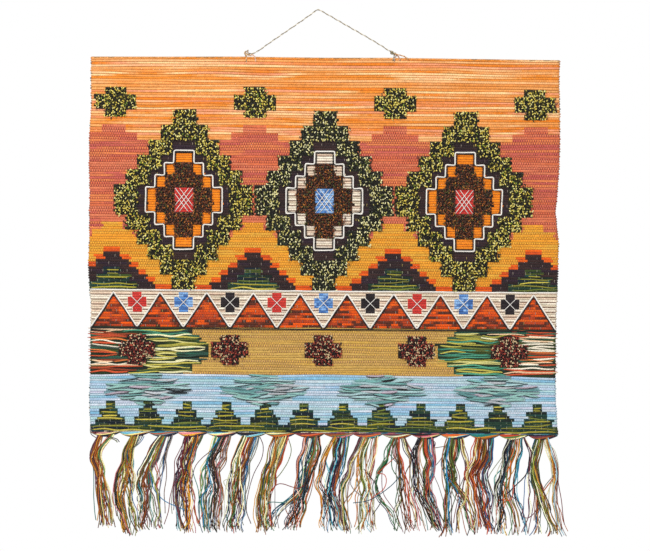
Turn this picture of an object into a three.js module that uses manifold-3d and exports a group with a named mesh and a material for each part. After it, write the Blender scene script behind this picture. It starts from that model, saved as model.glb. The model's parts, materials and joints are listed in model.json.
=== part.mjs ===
// A handwoven jute tapestry hanging from a twine on one nail: a flat-woven cloth with raised loop pile,
// sixteen gathered tassels along its bottom edge, and the twine with the knot at each of its ends.
// Millimetres, +Z up, front faces -Y. The wall is the plane y = 0, and the origin is the nail's place in it,
// just under the bend of the twine.
import * as THREE from 'three';
import { mergeVertices } from 'three/addons/utils/BufferGeometryUtils.js';
import Module from 'manifold-3d';

const wasm = await Module();
wasm.setup();

const gap = 0.3; // between pieces that touch

const cloth = {
  width: 1000,
  height: 800,
  thickness: 4, // flat-woven ground
  pileTop: 8, // from the cloth's back to the crown of the loops
  pileRoot: 2, // how deep the pile's solid starts inside the ground
  columns: 18,
  middle: new THREE.Vector3(16, 0, -103.6), // of the top edge
  turn: THREE.MathUtils.degToRad(0.45), // it hangs with its right side lower
};

// How far each selvedge stands out from a straight line, by the distance down from the top edge.
const selvedges = [
  { down: 0, left: 0, right: 0 },
  { down: 50, left: 0, right: -1 },
  { down: 104, left: -1, right: 1 },
  { down: 170, left: 3, right: 2 },
  { down: 232, left: 3, right: 1 },
  { down: 290, left: 1, right: -3 },
  { down: 324, left: 2, right: -6 },
  { down: 392, left: 1, right: 1 },
  { down: 440, left: 3, right: 0 },
  { down: 490, left: 0, right: -1 },
  { down: 535, left: -4, right: -3 },
  { down: 600, left: -3, right: -4 },
  { down: 670, left: -4, right: -4 },
  { down: 730, left: -2, right: -3 },
  { down: 775, left: -4, right: 0 },
  { down: 800, left: -7, right: 2 },
];

// How far the top edge is drawn up, by the distance across from the cloth's centre line.
const topEdge = [
  { across: -500, rise: 0 },
  { across: -400, rise: 1 },
  { across: -170, rise: 3 },
  { across: 0, rise: 2 },
  { across: 140, rise: 3 },
  { across: 260, rise: 2 },
  { across: 500, rise: 0 },
];
const topEdgeFade = 150; // the rise dies out this far down

const waves = {
  flatHalf: 60, // the strip about the centre line that lies on the wall
  pitch: 300,
  crest: 3,
  atTop: 0.35, // share of the crest at the top edge
  cornerCurl: 5, // of the two bottom corners
  topLean: 3, // of the two top corners, outside the knots
  topLeanFade: 300,
};

// Areas of loop pile: stepped lozenges and rings, counted in steps from their centres.
const ringStep = { across: 24.5, down: 32 };
const heartStep = { across: 20, down: 26 };
const starStep = { across: 22, down: 16 };
const budStep = { across: 19, down: 16 };
const pile = [
  ...[-300, 0, 300].flatMap((across) => [
    { across, down: 304, step: ringStep, steps: 6, hole: 4 },
    { across, down: 304, step: heartStep, steps: 3, hole: 1 },
  ]),
  ...[-448, -150, 150, 448].map((across) => ({ across, down: 96, step: starStep, steps: 2 })),
  ...[-400, -200, 0, 200, 400].map((across) => ({ across, down: 624, step: budStep, steps: 2 })),
];

// Tassels from left to right. head, waist and tip are places along X from the nail, and each has its width.
const tassels = [
  { head: -456, waist: -471, tip: -451, headWide: 43, waistWide: 17, tipWide: 28, long: 196 },
  { head: -398, waist: -413, tip: -408, headWide: 34, waistWide: 34, tipWide: 41, long: 212 },
  { head: -331, waist: -369, tip: -365, headWide: 45, waistWide: 31, tipWide: 32, long: 205 },
  { head: -273, waist: -291, tip: -285, headWide: 28, waistWide: 39, tipWide: 33, long: 208 },
  { head: -204, waist: -228, tip: -242, headWide: 36, waistWide: 36, tipWide: 38, long: 206 },
  { head: -143, waist: -174, tip: -193, headWide: 39, waistWide: 31, tipWide: 46, long: 204 },
  { head: -79, waist: -107, tip: -128, headWide: 39, waistWide: 39, tipWide: 54, long: 206 },
  { head: -12, waist: -27, tip: -64, headWide: 41, waistWide: 43, tipWide: 45, long: 200 },
  { head: 49, waist: 33, tip: 45, headWide: 39, waistWide: 46, tipWide: 60, long: 204 },
  { head: 110, waist: 98, tip: 108, headWide: 36, waistWide: 34, tipWide: 28, long: 206 },
  { head: 171, waist: 150, tip: 152, headWide: 30, waistWide: 44, tipWide: 32, long: 204 },
  { head: 233, waist: 217, tip: 222, headWide: 30, waistWide: 46, tipWide: 34, long: 206 },
  { head: 293, waist: 294, tip: 265, headWide: 43, waistWide: 41, tipWide: 42, long: 210 },
  { head: 354, waist: 341, tip: 334, headWide: 41, waistWide: 45, tipWide: 50, long: 206 },
  { head: 415, waist: 403, tip: 403, headWide: 34, waistWide: 44, tipWide: 46, long: 208 },
  { head: 475, waist: 468, tip: 490, headWide: 28, waistWide: 48, tipWide: 38, long: 210 },
];
const tassel = {
  first: -486, // left end of the first roll, along X
  pitch: 62.4, // one roll and its gap
  rollThick: 11, // where the strands of a roll gather into its tassel
  rollEndThick: 3,
  rollFromWall: 4, // plus half its radius
  rollStations: 6,
  rollSides: 8,
  waistAt: 0.38, // share of the length
  depth: 13,
  fromWall: 8, // of the skirt's centre
  stations: 7,
  sides: 8,
  tuck: 3, // how far the skirt starts up inside its roll
};

const twine = {
  thick: 3,
  sides: 8,
  steps: 44,
  // From the left knot over the nail to the right knot.
  route: [
    [-148.7, -4.2, -92.3], [-144, -4.2, -92.6], [-139, -4.2, -91.9], [-133, -4.2, -89.6],
    [-126, -4.2, -85.6], [-117, -4.2, -79.2], [-103, -4.2, -69.2], [-86, -4.2, -57.6],
    [-69, -4.2, -46], [-52, -4.2, -34.4], [-36, -4.2, -23.4], [-22, -4.2, -13.4],
    [-11, -4.2, -5.6], [-4, -4.2, -0.3], [0, -4.2, 1.5], [4, -4.2, 0.3],
    [12, -4.2, -4], [26, -4.2, -12], [44, -4.2, -22.4], [64, -4.2, -34],
    [84, -4.2, -45.4], [104, -4.2, -56.8], [122, -4.2, -67.4], [137, -4.2, -76.6],
    [147, -4.2, -83.2], [154.1, -4.2, -87.5],
  ],
};
const knot = {
  radius: 4,
  neck: 1.7, // radius of the twine's two legs below the knot
  foot: 2.2, // radius where they go into the cloth
  bulgeFrom: THREE.MathUtils.degToRad(-65), // where the bead begins above its legs
  bulgeStations: 5,
  sides: 8,
  left: new THREE.Vector3(-153, -4.2, -91.4),
  right: new THREE.Vector3(157.6, -4.2, -90),
  // The right knot's free end, from its centre out over the cloth's edge.
  tailThick: 2.4,
  tailSteps: 8,
  tail: [
    [0.4, -0.8, -1], [6.4, -2, -3], [14.4, -3, -6],
    [24.4, -3.6, -8.6], [32.4, -3.8, -12.5], [35.4, -3.8, -16],
  ],
};

const looks = {
  cloth: { color: 0xd98a4a, roughness: 0.95, metalness: 0 },
  tassel: { color: 0x8a5a3c, roughness: 0.95, metalness: 0 },
  twine: { color: 0xa89f8c, roughness: 0.95, metalness: 0 },
};

// The value of a table's column at a place between its rows, on straight lines.
function between(table, along, column, place) {
  const next = 1 + table.slice(1, -1).filter((row) => row[along] < place).length;
  const [from, to] = [table[next - 1], table[next]];
  return THREE.MathUtils.mapLinear(place, from[along], to[along], from[column], to[column]);
}

// How far the cloth's back stands off the wall.
function standOff(across, down) {
  const { flatHalf, pitch, crest, atTop, cornerCurl, topLean, topLeanFade } = waves;
  const side = Math.max(0, Math.abs(across) - flatHalf);
  const half = cloth.width / 2;
  const low = down / cloth.height;
  const billow = (crest / 2) * (1 - Math.cos((2 * Math.PI * side) / pitch)) * (atTop + (1 - atTop) * low);
  const corner = cornerCurl * Math.pow(Math.abs(across) / half, 6) * Math.pow(low, 4);
  const lean = topLean * Math.pow(side / (half - flatHalf), 2) * Math.max(0, 1 - down / topLeanFade);
  return billow + corner + lean;
}

// A point of the cloth as it hangs, from the middle of its top edge: across, down, and out from its back.
function onCloth(across, down, out) {
  const side = between(selvedges, 'down', across < 0 ? 'left' : 'right', down) * Math.sign(across);
  const rise = between(topEdge, 'across', 'rise', across) * Math.max(0, 1 - down / topEdgeFade);
  return new THREE.Vector3(
    across + side * Math.pow(Math.abs(across) / (cloth.width / 2), 3),
    -standOff(across, down) - out,
    rise - down,
  );
}

// Height above the nail, at a place along X, of the cloth's top edge (down = 0) or bottom edge (down = height).
function edgeHeight(x, down) {
  const across = (x - cloth.middle.x) / Math.cos(cloth.turn) + down * Math.tan(cloth.turn);
  return hung.localToWorld(onCloth(across, down, 0)).z;
}

// Shared vertices, no flat triangles, and faces that point outwards.
function closed(geometry) {
  const source = geometry.clone();
  source.deleteAttribute('normal');
  source.deleteAttribute('uv');
  const merged = mergeVertices(source, 1e-4);
  const corner = (i) => new THREE.Vector3().fromBufferAttribute(merged.attributes.position, i);
  const index = [...merged.index.array];
  const faces = [];
  let volume = 0;
  for (let i = 0; i < index.length; i += 3) {
    const [a, b, c] = index.slice(i, i + 3);
    if (a !== b && b !== c && c !== a) {
      faces.push([a, b, c]);
      volume += corner(a).dot(corner(b).cross(corner(c)));
    }
  }
  merged.setIndex(faces.flatMap((face) => (volume < 0 ? face.reverse() : face)));
  return merged;
}

function solidOf(geometry) {
  const body = closed(geometry);
  return new wasm.Manifold(new wasm.Mesh({
    numProp: 3,
    vertProperties: new Float32Array(body.attributes.position.array),
    triVerts: new Uint32Array(body.index.array),
  }));
}

function geometryOf(solid) {
  const mesh = solid.getMesh();
  const geometry = new THREE.BufferGeometry();
  geometry.setAttribute('position', new THREE.BufferAttribute(mesh.vertProperties, 3));
  geometry.setIndex(new THREE.BufferAttribute(mesh.triVerts, 1));
  return geometry;
}

// One geometry of several closed ones that reach into each other.
function joined(geometries) {
  return geometryOf(geometries.map(solidOf).reduce((whole, next) => whole.add(next)));
}

// Moves each vertex by a function of its place.
function moved(geometry, place) {
  const positions = geometry.attributes.position;
  for (let i = 0; i < positions.count; i++) {
    const to = place(new THREE.Vector3().fromBufferAttribute(positions, i));
    positions.setXYZ(i, to.x, to.y, to.z);
  }
  return geometry;
}

// The flat-woven ground: a box with a row of faces for each row of the selvedge table, bent as the cloth hangs.
function groundGeometry() {
  const sheet = new THREE.BoxGeometry(1, 1, 1, cloth.columns, selvedges.length - 1, 1);
  return moved(sheet, (point) => {
    const row = Math.round((0.5 - point.y) * (selvedges.length - 1));
    return onCloth(point.x * cloth.width, selvedges[row].down, (0.5 - point.z) * cloth.thickness);
  });
}

// Corners of a stepped lozenge, walked once round its four quarters.
function steppedLozenge({ across, down, step }, steps) {
  const corners = [];
  for (const [right, low] of [[1, 1], [-1, 1], [-1, -1], [1, -1]]) {
    const quarter = [];
    for (let i = 0; i < steps; i++) {
      const reach = (steps - i) * step.across;
      quarter.push([reach, i * step.down], [reach, (i + 1) * step.down]);
    }
    if (right * low < 0) quarter.reverse();
    corners.push(...quarter.map(([x, y]) => new THREE.Vector2(across + right * x, down + low * y)));
  }
  return corners.filter((point, i) => !point.equals(corners.at(i - 1)));
}

function lozengeBlock(area, steps, from, to) {
  const outline = new THREE.Shape(steppedLozenge(area, steps));
  return new THREE.ExtrudeGeometry(outline, { depth: to - from, steps: 1, bevelEnabled: false })
    .translate(0, 0, from);
}

// A raised area of pile, from inside the ground to the crown of its loops.
function pileGeometry(area) {
  const { pileRoot, pileTop } = cloth;
  let block = lozengeBlock(area, area.steps, pileRoot, pileTop);
  if (area.hole) {
    const hollow = lozengeBlock(area, area.hole, pileRoot - 1, pileTop + 1);
    block = geometryOf(solidOf(block).subtract(solidOf(hollow)));
  }
  return moved(block, (point) => onCloth(point.x, point.y, point.z));
}

// A roll: strands drawn along the cloth's edge, with a level top, thickest at the head where they turn down.
function rollGeometry(head, from, to) {
  const { rollThick, rollEndThick, rollFromWall, rollStations, rollSides } = tassel;
  const stations = [];
  for (let i = 0; i < rollStations; i++) {
    const x = THREE.MathUtils.lerp(from, to, i / (rollStations - 1));
    const away = x < head.x ? (head.x - x) / (head.x - from) : (x - head.x) / (to - head.x);
    stations.push({ x, radius: THREE.MathUtils.lerp(rollThick, rollEndThick, away * away) / 2 });
  }
  const profile = stations.map(({ x, radius }) => new THREE.Vector2(radius, x));
  profile.unshift(new THREE.Vector2(0, from));
  profile.push(new THREE.Vector2(0, to));
  return moved(new THREE.LatheGeometry(profile, rollSides).rotateZ(-Math.PI / 2), ({ x, y, z }) => {
    const radius = between(stations, 'x', 'radius', x);
    const top = edgeHeight(x, cloth.height) - gap;
    return new THREE.Vector3(x, y - rollFromWall - radius / 2, top - radius + z).sub(head);
  });
}

// The skirt of strands: a turned profile, flattened towards the wall and swayed along X.
function skirtGeometry(row) {
  const { waistAt, depth, rollThick, tuck, stations, sides } = tassel;
  const widest = Math.max(row.headWide, row.waistWide, row.tipWide);
  const sway = new THREE.CatmullRomCurve3([
    new THREE.Vector3(0, row.headWide / 2, 0),
    new THREE.Vector3(row.waist - row.head, row.waistWide / 2, waistAt * row.long),
    new THREE.Vector3(row.tip - row.head, row.tipWide / 2, row.long),
  ]);
  const rows = sway.getPoints(stations - 1).map((spot) => ({ centre: spot.x, radius: spot.y, drop: spot.z }));
  const profile = rows.map(({ radius, drop }) => new THREE.Vector2(radius, -drop));
  profile.unshift(new THREE.Vector2(0, 0));
  profile.push(new THREE.Vector2(0, -row.long));
  return moved(new THREE.LatheGeometry(profile, sides), ({ x, y, z }) => new THREE.Vector3(
    x + between(rows, 'drop', 'centre', -y),
    (z * depth) / widest,
    y - rollThick + tuck,
  ));
}

// A tassel, with its own origin at its head on the cloth's edge.
function addTassel(row, i) {
  const from = tassel.first + i * tassel.pitch;
  const head = new THREE.Vector3(row.head, -tassel.fromWall, edgeHeight(row.head, cloth.height) - gap);
  const roll = rollGeometry(head, from, from + tassel.pitch - gap);
  const name = `tassel_${String(i + 1).padStart(2, '0')}`;
  addPiece(tapestry, name, joined([roll, skirtGeometry(row)]), looks.tassel, head);
}

function tubeGeometry(route, thick, steps) {
  const section = new THREE.Shape();
  for (let i = 0; i < twine.sides; i++) {
    const angle = (2 * Math.PI * (i + 0.5)) / twine.sides;
    const spot = [Math.cos(angle), Math.sin(angle)].map((part) => (part * thick) / 2);
    if (i) section.lineTo(...spot);
    else section.moveTo(...spot);
  }
  section.closePath();
  const extrudePath = new THREE.CatmullRomCurve3(route.map((point) => new THREE.Vector3(...point)));
  return new THREE.ExtrudeGeometry(section, { steps, bevelEnabled: false, extrudePath });
}

// A knot about its own centre, with the twine's legs below it down to the cloth's top edge.
function knotGeometry(centre) {
  const { radius, neck, foot, bulgeFrom, bulgeStations, sides } = knot;
  const ground = edgeHeight(centre.x, 0) + gap - centre.z;
  const profile = [[0, ground], [foot, ground], [neck, -radius]];
  for (let i = 0; i < bulgeStations; i++) {
    const angle = THREE.MathUtils.lerp(bulgeFrom, Math.PI / 2, i / bulgeStations);
    profile.push([radius * Math.cos(angle), radius * Math.sin(angle)]);
  }
  profile.push([0, radius]);
  const points = profile.map(([away, height]) => new THREE.Vector2(away, height));
  return new THREE.LatheGeometry(points, sides).rotateX(Math.PI / 2);
}

function addPiece(parent, name, geometry, look, position = new THREE.Vector3()) {
  const mesh = new THREE.Mesh(closed(geometry), new THREE.MeshStandardMaterial(look));
  mesh.name = name;
  mesh.position.copy(position);
  parent.add(mesh);
}

const tapestry = new THREE.Group();
const hung = new THREE.Group();
hung.position.copy(cloth.middle);
hung.rotation.y = cloth.turn;
tapestry.add(hung);
tapestry.updateMatrixWorld(true);

addPiece(hung, 'cloth', joined([groundGeometry(), ...pile.map(pileGeometry)]), looks.cloth);
tassels.forEach(addTassel);
addPiece(tapestry, 'hanging_cord', tubeGeometry(twine.route, twine.thick, twine.steps), looks.twine);
addPiece(tapestry, 'knot_left', knotGeometry(knot.left), looks.twine, knot.left);
const tail = tubeGeometry(knot.tail, knot.tailThick, knot.tailSteps);
addPiece(tapestry, 'knot_right', joined([knotGeometry(knot.right), tail]), looks.twine, knot.right);

export default tapestry;
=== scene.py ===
import json
import math

import bpy
import numpy as np
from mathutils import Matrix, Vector

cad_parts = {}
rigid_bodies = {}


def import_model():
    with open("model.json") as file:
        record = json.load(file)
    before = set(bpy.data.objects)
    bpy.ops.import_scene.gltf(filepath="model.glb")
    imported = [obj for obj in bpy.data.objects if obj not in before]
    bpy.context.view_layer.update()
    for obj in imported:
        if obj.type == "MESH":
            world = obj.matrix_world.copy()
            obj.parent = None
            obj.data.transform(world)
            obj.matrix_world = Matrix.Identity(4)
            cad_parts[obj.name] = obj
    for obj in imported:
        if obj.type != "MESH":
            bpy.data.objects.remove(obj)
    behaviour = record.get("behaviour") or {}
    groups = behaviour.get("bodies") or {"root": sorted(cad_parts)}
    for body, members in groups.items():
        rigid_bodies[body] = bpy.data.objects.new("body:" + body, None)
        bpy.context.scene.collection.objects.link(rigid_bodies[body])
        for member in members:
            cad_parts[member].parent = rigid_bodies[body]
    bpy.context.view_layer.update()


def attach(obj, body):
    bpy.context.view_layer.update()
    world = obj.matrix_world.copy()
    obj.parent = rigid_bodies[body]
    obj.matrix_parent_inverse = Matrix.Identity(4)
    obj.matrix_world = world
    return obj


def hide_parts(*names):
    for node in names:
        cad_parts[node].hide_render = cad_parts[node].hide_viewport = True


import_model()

# A handwoven jute tapestry: weft ridges over a ground cloth, loop pile, laid floats, couched cords, gathered
# tassels and a hanging twine. Lengths are in millimetres until a mesh is made. X runs to the right, Z up, and
# the front faces -Y. The origin is the nail's place in the wall.


def toLinear(text):
    # sRGB hex to linear light: a plain share below 0.04045, a power of 2.4 above it
    part = np.array([int(text[i:i + 2], 16) for i in (1, 3, 5)]) / 255
    return np.where(part <= 0.04045, part / 12.92, ((part + 0.055) / 1.055) ** 2.4)


def addNode(tree, kind, inputs=None, **settings):
    # one shader node with its settings; an input is either a value or the socket that feeds it
    node = tree.nodes.new("ShaderNode" + kind)
    for name, value in settings.items():
        setattr(node, name, value)
    for socket, value in (inputs or {}).items():
        if isinstance(value, bpy.types.NodeSocket):
            tree.links.new(value, node.inputs[socket])
        else:
            node.inputs[socket].default_value = value
    return node


# ---- camera, light and floor

view = {
    "lens": 85,
    "distance": 3.286,     # metres from the wall
    "across": 0.015,       # of the picture's middle
    "height": -0.567,
    "floor": -1.6,
    "floorReach": 1.9,
    "white": 1.0,          # how bright the surroundings look
    "soft": 0.62,          # how much light they give
}

camera = bpy.data.objects.new("camera", bpy.data.cameras.new("camera"))
camera.data.lens = view["lens"]
camera.data.sensor_width = 36
camera.location = (view["across"], -view["distance"], view["height"])
camera.rotation_euler = (math.pi / 2, 0, 0)
bpy.context.scene.collection.objects.link(camera)
bpy.context.scene.camera = camera
bpy.context.scene.view_settings.view_transform = "Standard"

world = bpy.data.worlds.new("studio")
bpy.context.scene.world = world
world.use_nodes = True
sky = world.node_tree
sky.nodes.clear()
seen = addNode(sky, "Background", {"Color": (1, 1, 1, 1), "Strength": view["white"]})
given = addNode(sky, "Background", {"Color": (1, 1, 1, 1), "Strength": view["soft"]})
path = addNode(sky, "LightPath")
both = addNode(sky, "MixShader", {0: path.outputs["Is Camera Ray"], 1: given.outputs[0], 2: seen.outputs[0]})
addNode(sky, "OutputWorld", {"Surface": both.outputs[0]})

lamps = {
    # a high softbox on the left draws a shadow under each ridge; a weak one on the right opens it up
    "softboxHigh": {"at": (-1.1, -2.0, 1.6), "size": 0.9, "power": 62},
    "softboxLow": {"at": (1.7, -2.4, -0.2), "size": 1.2, "power": 12},
    "softboxBack": {"at": (0.6, 2.4, 0.9), "size": 1.2, "power": 25},
}
for name, lamp in lamps.items():
    light = bpy.data.lights.new(name, "AREA")
    light.size = lamp["size"]
    light.energy = lamp["power"]
    lampObject = bpy.data.objects.new(name, light)
    lampObject.location = lamp["at"]
    aim = Vector((0, 0, -0.55)) - Vector(lamp["at"])
    lampObject.rotation_euler = aim.to_track_quat("-Z", "Y").to_euler()
    bpy.context.scene.collection.objects.link(lampObject)

floorMesh = bpy.data.meshes.new("floor")
turnAngles = np.linspace(0, 2 * np.pi, 64, endpoint=False)
floorMesh.from_pydata(
    [(view["floorReach"] * math.cos(a), view["floorReach"] * math.sin(a), view["floor"]) for a in turnAngles],
    [], [list(range(64))],
)
floor = bpy.data.objects.new("floor", floorMesh)
bpy.context.scene.collection.objects.link(floor)
# matt emulsion paint on plaster: pale, even and without a reflection
paint = bpy.data.materials.new("mattEmulsionPaint")
paint.use_nodes = True
shader = paint.node_tree.nodes["Principled BSDF"]
grain = addNode(paint.node_tree, "TexNoise", {
    "Vector": addNode(paint.node_tree, "TexCoord").outputs["Object"], "Scale": 160.0,
})
tint = addNode(paint.node_tree, "MapRange", {"Value": grain.outputs["Fac"], "To Min": 0.86, "To Max": 0.9})
paint.node_tree.links.new(tint.outputs[0], shader.inputs["Base Color"])
shader.inputs["Roughness"].default_value = 0.9
floorMesh.materials.append(paint)
print("camera, light and floor are set")


# ---- surfaces

def circle(sides):
    # a ring of points at equal angles, the first half a step round
    angle = 2 * np.pi * (np.arange(sides) + 0.5) / sides
    return np.stack([np.cos(angle), np.sin(angle)], axis=1)


def drift(random, lines, places, reach):
    # one smooth random run from -1 to 1 for each line: random heights a reach apart, joined by half cosine waves
    at = (places - places.min()) / reach
    knot = at.astype(int)
    share = (1 - np.cos(np.pi * (at - knot))) / 2
    heights = random.uniform(-1, 1, (lines, knot.max() + 2))
    return heights[:, knot] * (1 - share) + heights[:, knot + 1] * share


def unit(vectors):
    return vectors / np.maximum(np.linalg.norm(vectors, axis=-1, keepdims=True), 1e-9)


def tubes(paths, radius, shades, profile=None, outward=(0, -1, 0), flat=1.0, specks=None):
    # Closed tubes. At each ring centre of a path the profile stands square to the path: its first column times
    # the radius runs across, and its second times the radius times flat runs towards outward. Shades are given
    # for each tube, for each length of it between two rings, or for each side of each length.
    paths = np.asarray(paths, float)
    profile = circle(4) if profile is None else np.asarray(profile, float)
    strands, rings, sides = len(paths), paths.shape[1], len(profile)
    ahead = unit(np.gradient(paths, axis=1))
    across = unit(np.cross(np.broadcast_to(np.asarray(outward, float), paths.shape), ahead))
    up = np.cross(ahead, across)
    radius = np.broadcast_to(np.asarray(radius, float), (strands, rings))[:, :, None, None]
    flat = np.broadcast_to(np.asarray(flat, float), (strands, rings))[:, :, None, None]
    points = paths[:, :, None] + radius * (
        profile[:, :1] * across[:, :, None] + flat * profile[:, 1:] * up[:, :, None]
    )

    first = (np.arange(strands)[:, None, None] * rings + np.arange(rings - 1)[None, :, None]) * sides
    side = np.arange(sides)[None, None, :]
    after = (side + 1) % sides
    body = np.stack([first + side, first + after, first + sides + after, first + sides + side], axis=-1)
    lid = np.array([[0, 1, 2, 3]] if sides == 4 else [[0, 1, 2, 3], [3, 4, 5, 0]])
    start = np.arange(strands)[:, None, None] * rings * sides + lid[None, :, ::-1]
    end = start[:, :, ::-1] + (rings - 1) * sides
    quads = np.concatenate([body.reshape(strands, -1, 4), start, end], axis=1)

    # yarn map: millimetres along the yarn, and round it
    girth = 2 * np.pi * float(radius.mean())
    along = np.concatenate(
        [np.zeros((strands, 1)), np.cumsum(np.linalg.norm(np.diff(paths, axis=1), axis=2), axis=1)], axis=1)
    along = along + 23.7 * np.arange(strands)[:, None]
    u = np.stack([along[:, :-1], along[:, :-1], along[:, 1:], along[:, 1:]], axis=-1)
    u = np.broadcast_to(u[:, :, None], body.shape)
    v = np.stack([side, side + 1, side + 1, side], axis=-1) * girth / sides
    v = np.broadcast_to(v, body.shape)
    yarn = np.stack([u, v], axis=-1).reshape(strands, -1, 4, 2)
    lidYarn = np.zeros((strands, 2 * len(lid), 4, 2)) + along[:, :1, None, None]
    yarn = np.concatenate([yarn, lidYarn], axis=1)

    # each tube's own strip of the baking map: the wall unrolled, and a lid at each end
    run = np.linspace(0.05, 0.95, rings)
    s = np.stack([run[:-1], run[:-1], run[1:], run[1:]], axis=-1)[:, None] + np.zeros((1, sides, 1))
    t = (np.stack([side, side + 1, side + 1, side], axis=-1) / sides)[0] + np.zeros((rings - 1, 1, 1))
    strip = np.stack([s, t], axis=-1).reshape(-1, 4, 2)
    lids = []
    for low, high in ((0.0, 0.03), (0.97, 1.0)):
        for part in range(len(lid)):
            bottom, top = part / len(lid), (part + 0.96) / len(lid)
            lids.append([(low, bottom), (high, bottom), (high, top), (low, top)])
    strip = np.broadcast_to(np.concatenate([strip, np.array(lids)]), yarn.shape)

    def perFace(values):
        values = np.asarray(values, float)
        if values.ndim == 2:
            values = values[:, None]
        if values.ndim == 3:
            values = values[:, :, None]
        values = np.broadcast_to(values, (strands, rings - 1, sides, values.shape[-1]))
        ends = [np.repeat(values[:, i, :1], len(lid), axis=1) for i in (0, -1)]
        return np.concatenate([values.reshape(strands, -1, values.shape[-1])] + ends, axis=1).reshape(
            -1, values.shape[-1])

    return {
        "points": points.reshape(-1, 3),
        "quads": quads.reshape(-1, 4),
        "shades": perFace(shades),
        "specks": np.zeros((strands * quads.shape[1], 4)) if specks is None else perFace(specks),
        "yarn": yarn.reshape(-1, 2),
        "strip": strip.reshape(-1, 2),
        "tube": np.repeat(np.arange(strands), quads.shape[1]),
        "size": (float(np.ptp(along, axis=1).mean()), girth),
    }


def makePiece(name, parts, material):
    # one mesh of several parts, with the yarn map, the baking map and the colour of each face
    counts = np.cumsum([0] + [len(part["points"]) for part in parts])
    tubesBefore = np.cumsum([0] + [part["tube"].max() + 1 for part in parts])
    points = np.concatenate([part["points"] for part in parts]) / 1000
    quads = np.concatenate([part["quads"] + before for part, before in zip(parts, counts)])
    tube = np.concatenate([part["tube"] + before for part, before in zip(parts, tubesBefore)])
    mesh = bpy.data.meshes.new(name)
    mesh.vertices.add(len(points))
    mesh.vertices.foreach_set("co", points.astype(np.float32).ravel())
    mesh.loops.add(quads.size)
    mesh.loops.foreach_set("vertex_index", quads.astype(np.int32).ravel())
    mesh.polygons.add(len(quads))
    mesh.polygons.foreach_set("loop_start", np.arange(0, quads.size, 4, dtype=np.int32))
    mesh.update(calc_edges=True)
    mesh.polygons.foreach_set("use_smooth", np.ones(len(quads), bool))

    yarnMap = mesh.uv_layers.new(name="yarn")
    yarnMap.uv.foreach_set("vector", np.concatenate([p["yarn"] for p in parts]).astype(np.float32).ravel())
    # baking map: the strips side by side in a grid of cells that keep their length to their girth
    long, girth = np.mean([part["size"] for part in parts], axis=0)
    strips = int(tubesBefore[-1])
    columns = max(1, round(math.sqrt(strips * girth / long)))
    rows = math.ceil(strips / columns)
    cell = np.stack([tube % columns, tube // columns], axis=1).repeat(4, axis=0)
    strip = np.concatenate([p["strip"] for p in parts])
    bakeMap = mesh.uv_layers.new(name="OFBake")
    bakeMap.uv.foreach_set(
        "vector", ((cell + 0.06 + 0.88 * strip) / (columns, rows)).astype(np.float32).ravel())
    for attribute, width in (("shades", 3), ("specks", 4)):
        values = np.concatenate([p[attribute] for p in parts])
        if width == 3:
            values = np.concatenate([values, np.ones((len(values), 1))], axis=1)
        colours = mesh.color_attributes.new(attribute, "FLOAT_COLOR", "CORNER")
        colours.data.foreach_set("color", values.repeat(4, axis=0).astype(np.float32).ravel())
    mesh.materials.append(material)
    piece = bpy.data.objects.new(name, mesh)
    bpy.context.scene.collection.objects.link(piece)
    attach(piece, "root")
    print(name, "has", 2 * len(quads), "triangles")
    return piece


def smoothLine(points, count, power=1.0):
    # a Catmull-Rom curve through the points, read at equal steps of its own length
    points = np.asarray(points, float)
    ends = np.concatenate([2 * points[:1] - points[1:2], points, 2 * points[-1:] - points[-2:-1]])
    share = np.linspace(0, 1, 12, endpoint=False)[None, :, None]
    a, b, c, d = (ends[i:len(ends) - 3 + i, None] for i in range(4))
    curve = 0.5 * (2 * b + (c - a) * share + (2 * a - 5 * b + 4 * c - d) * share ** 2
                   + (3 * b - a - 3 * c + d) * share ** 3)
    curve = np.concatenate([curve.reshape(-1, 3), points[-1:]])
    run = np.concatenate([[0], np.cumsum(np.linalg.norm(np.diff(curve, axis=0), axis=1))])
    places = np.linspace(0, run[-1], count)
    return np.stack([np.interp(places, run, curve[:, i]) for i in range(3)], axis=1)


def pickShades(random, palette, count, unevenness=0.08):
    # colours drawn by weight from {hex: weight}, each a little lighter or darker
    tones = np.array([toLinear(text) for text in palette])
    weights = np.array(list(palette.values()), float)
    picked = tones[random.choice(len(tones), count, p=weights / weights.sum())]
    return picked * (1 + random.uniform(-unevenness, unevenness, (count, 1)))


# ---- yarn materials

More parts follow.
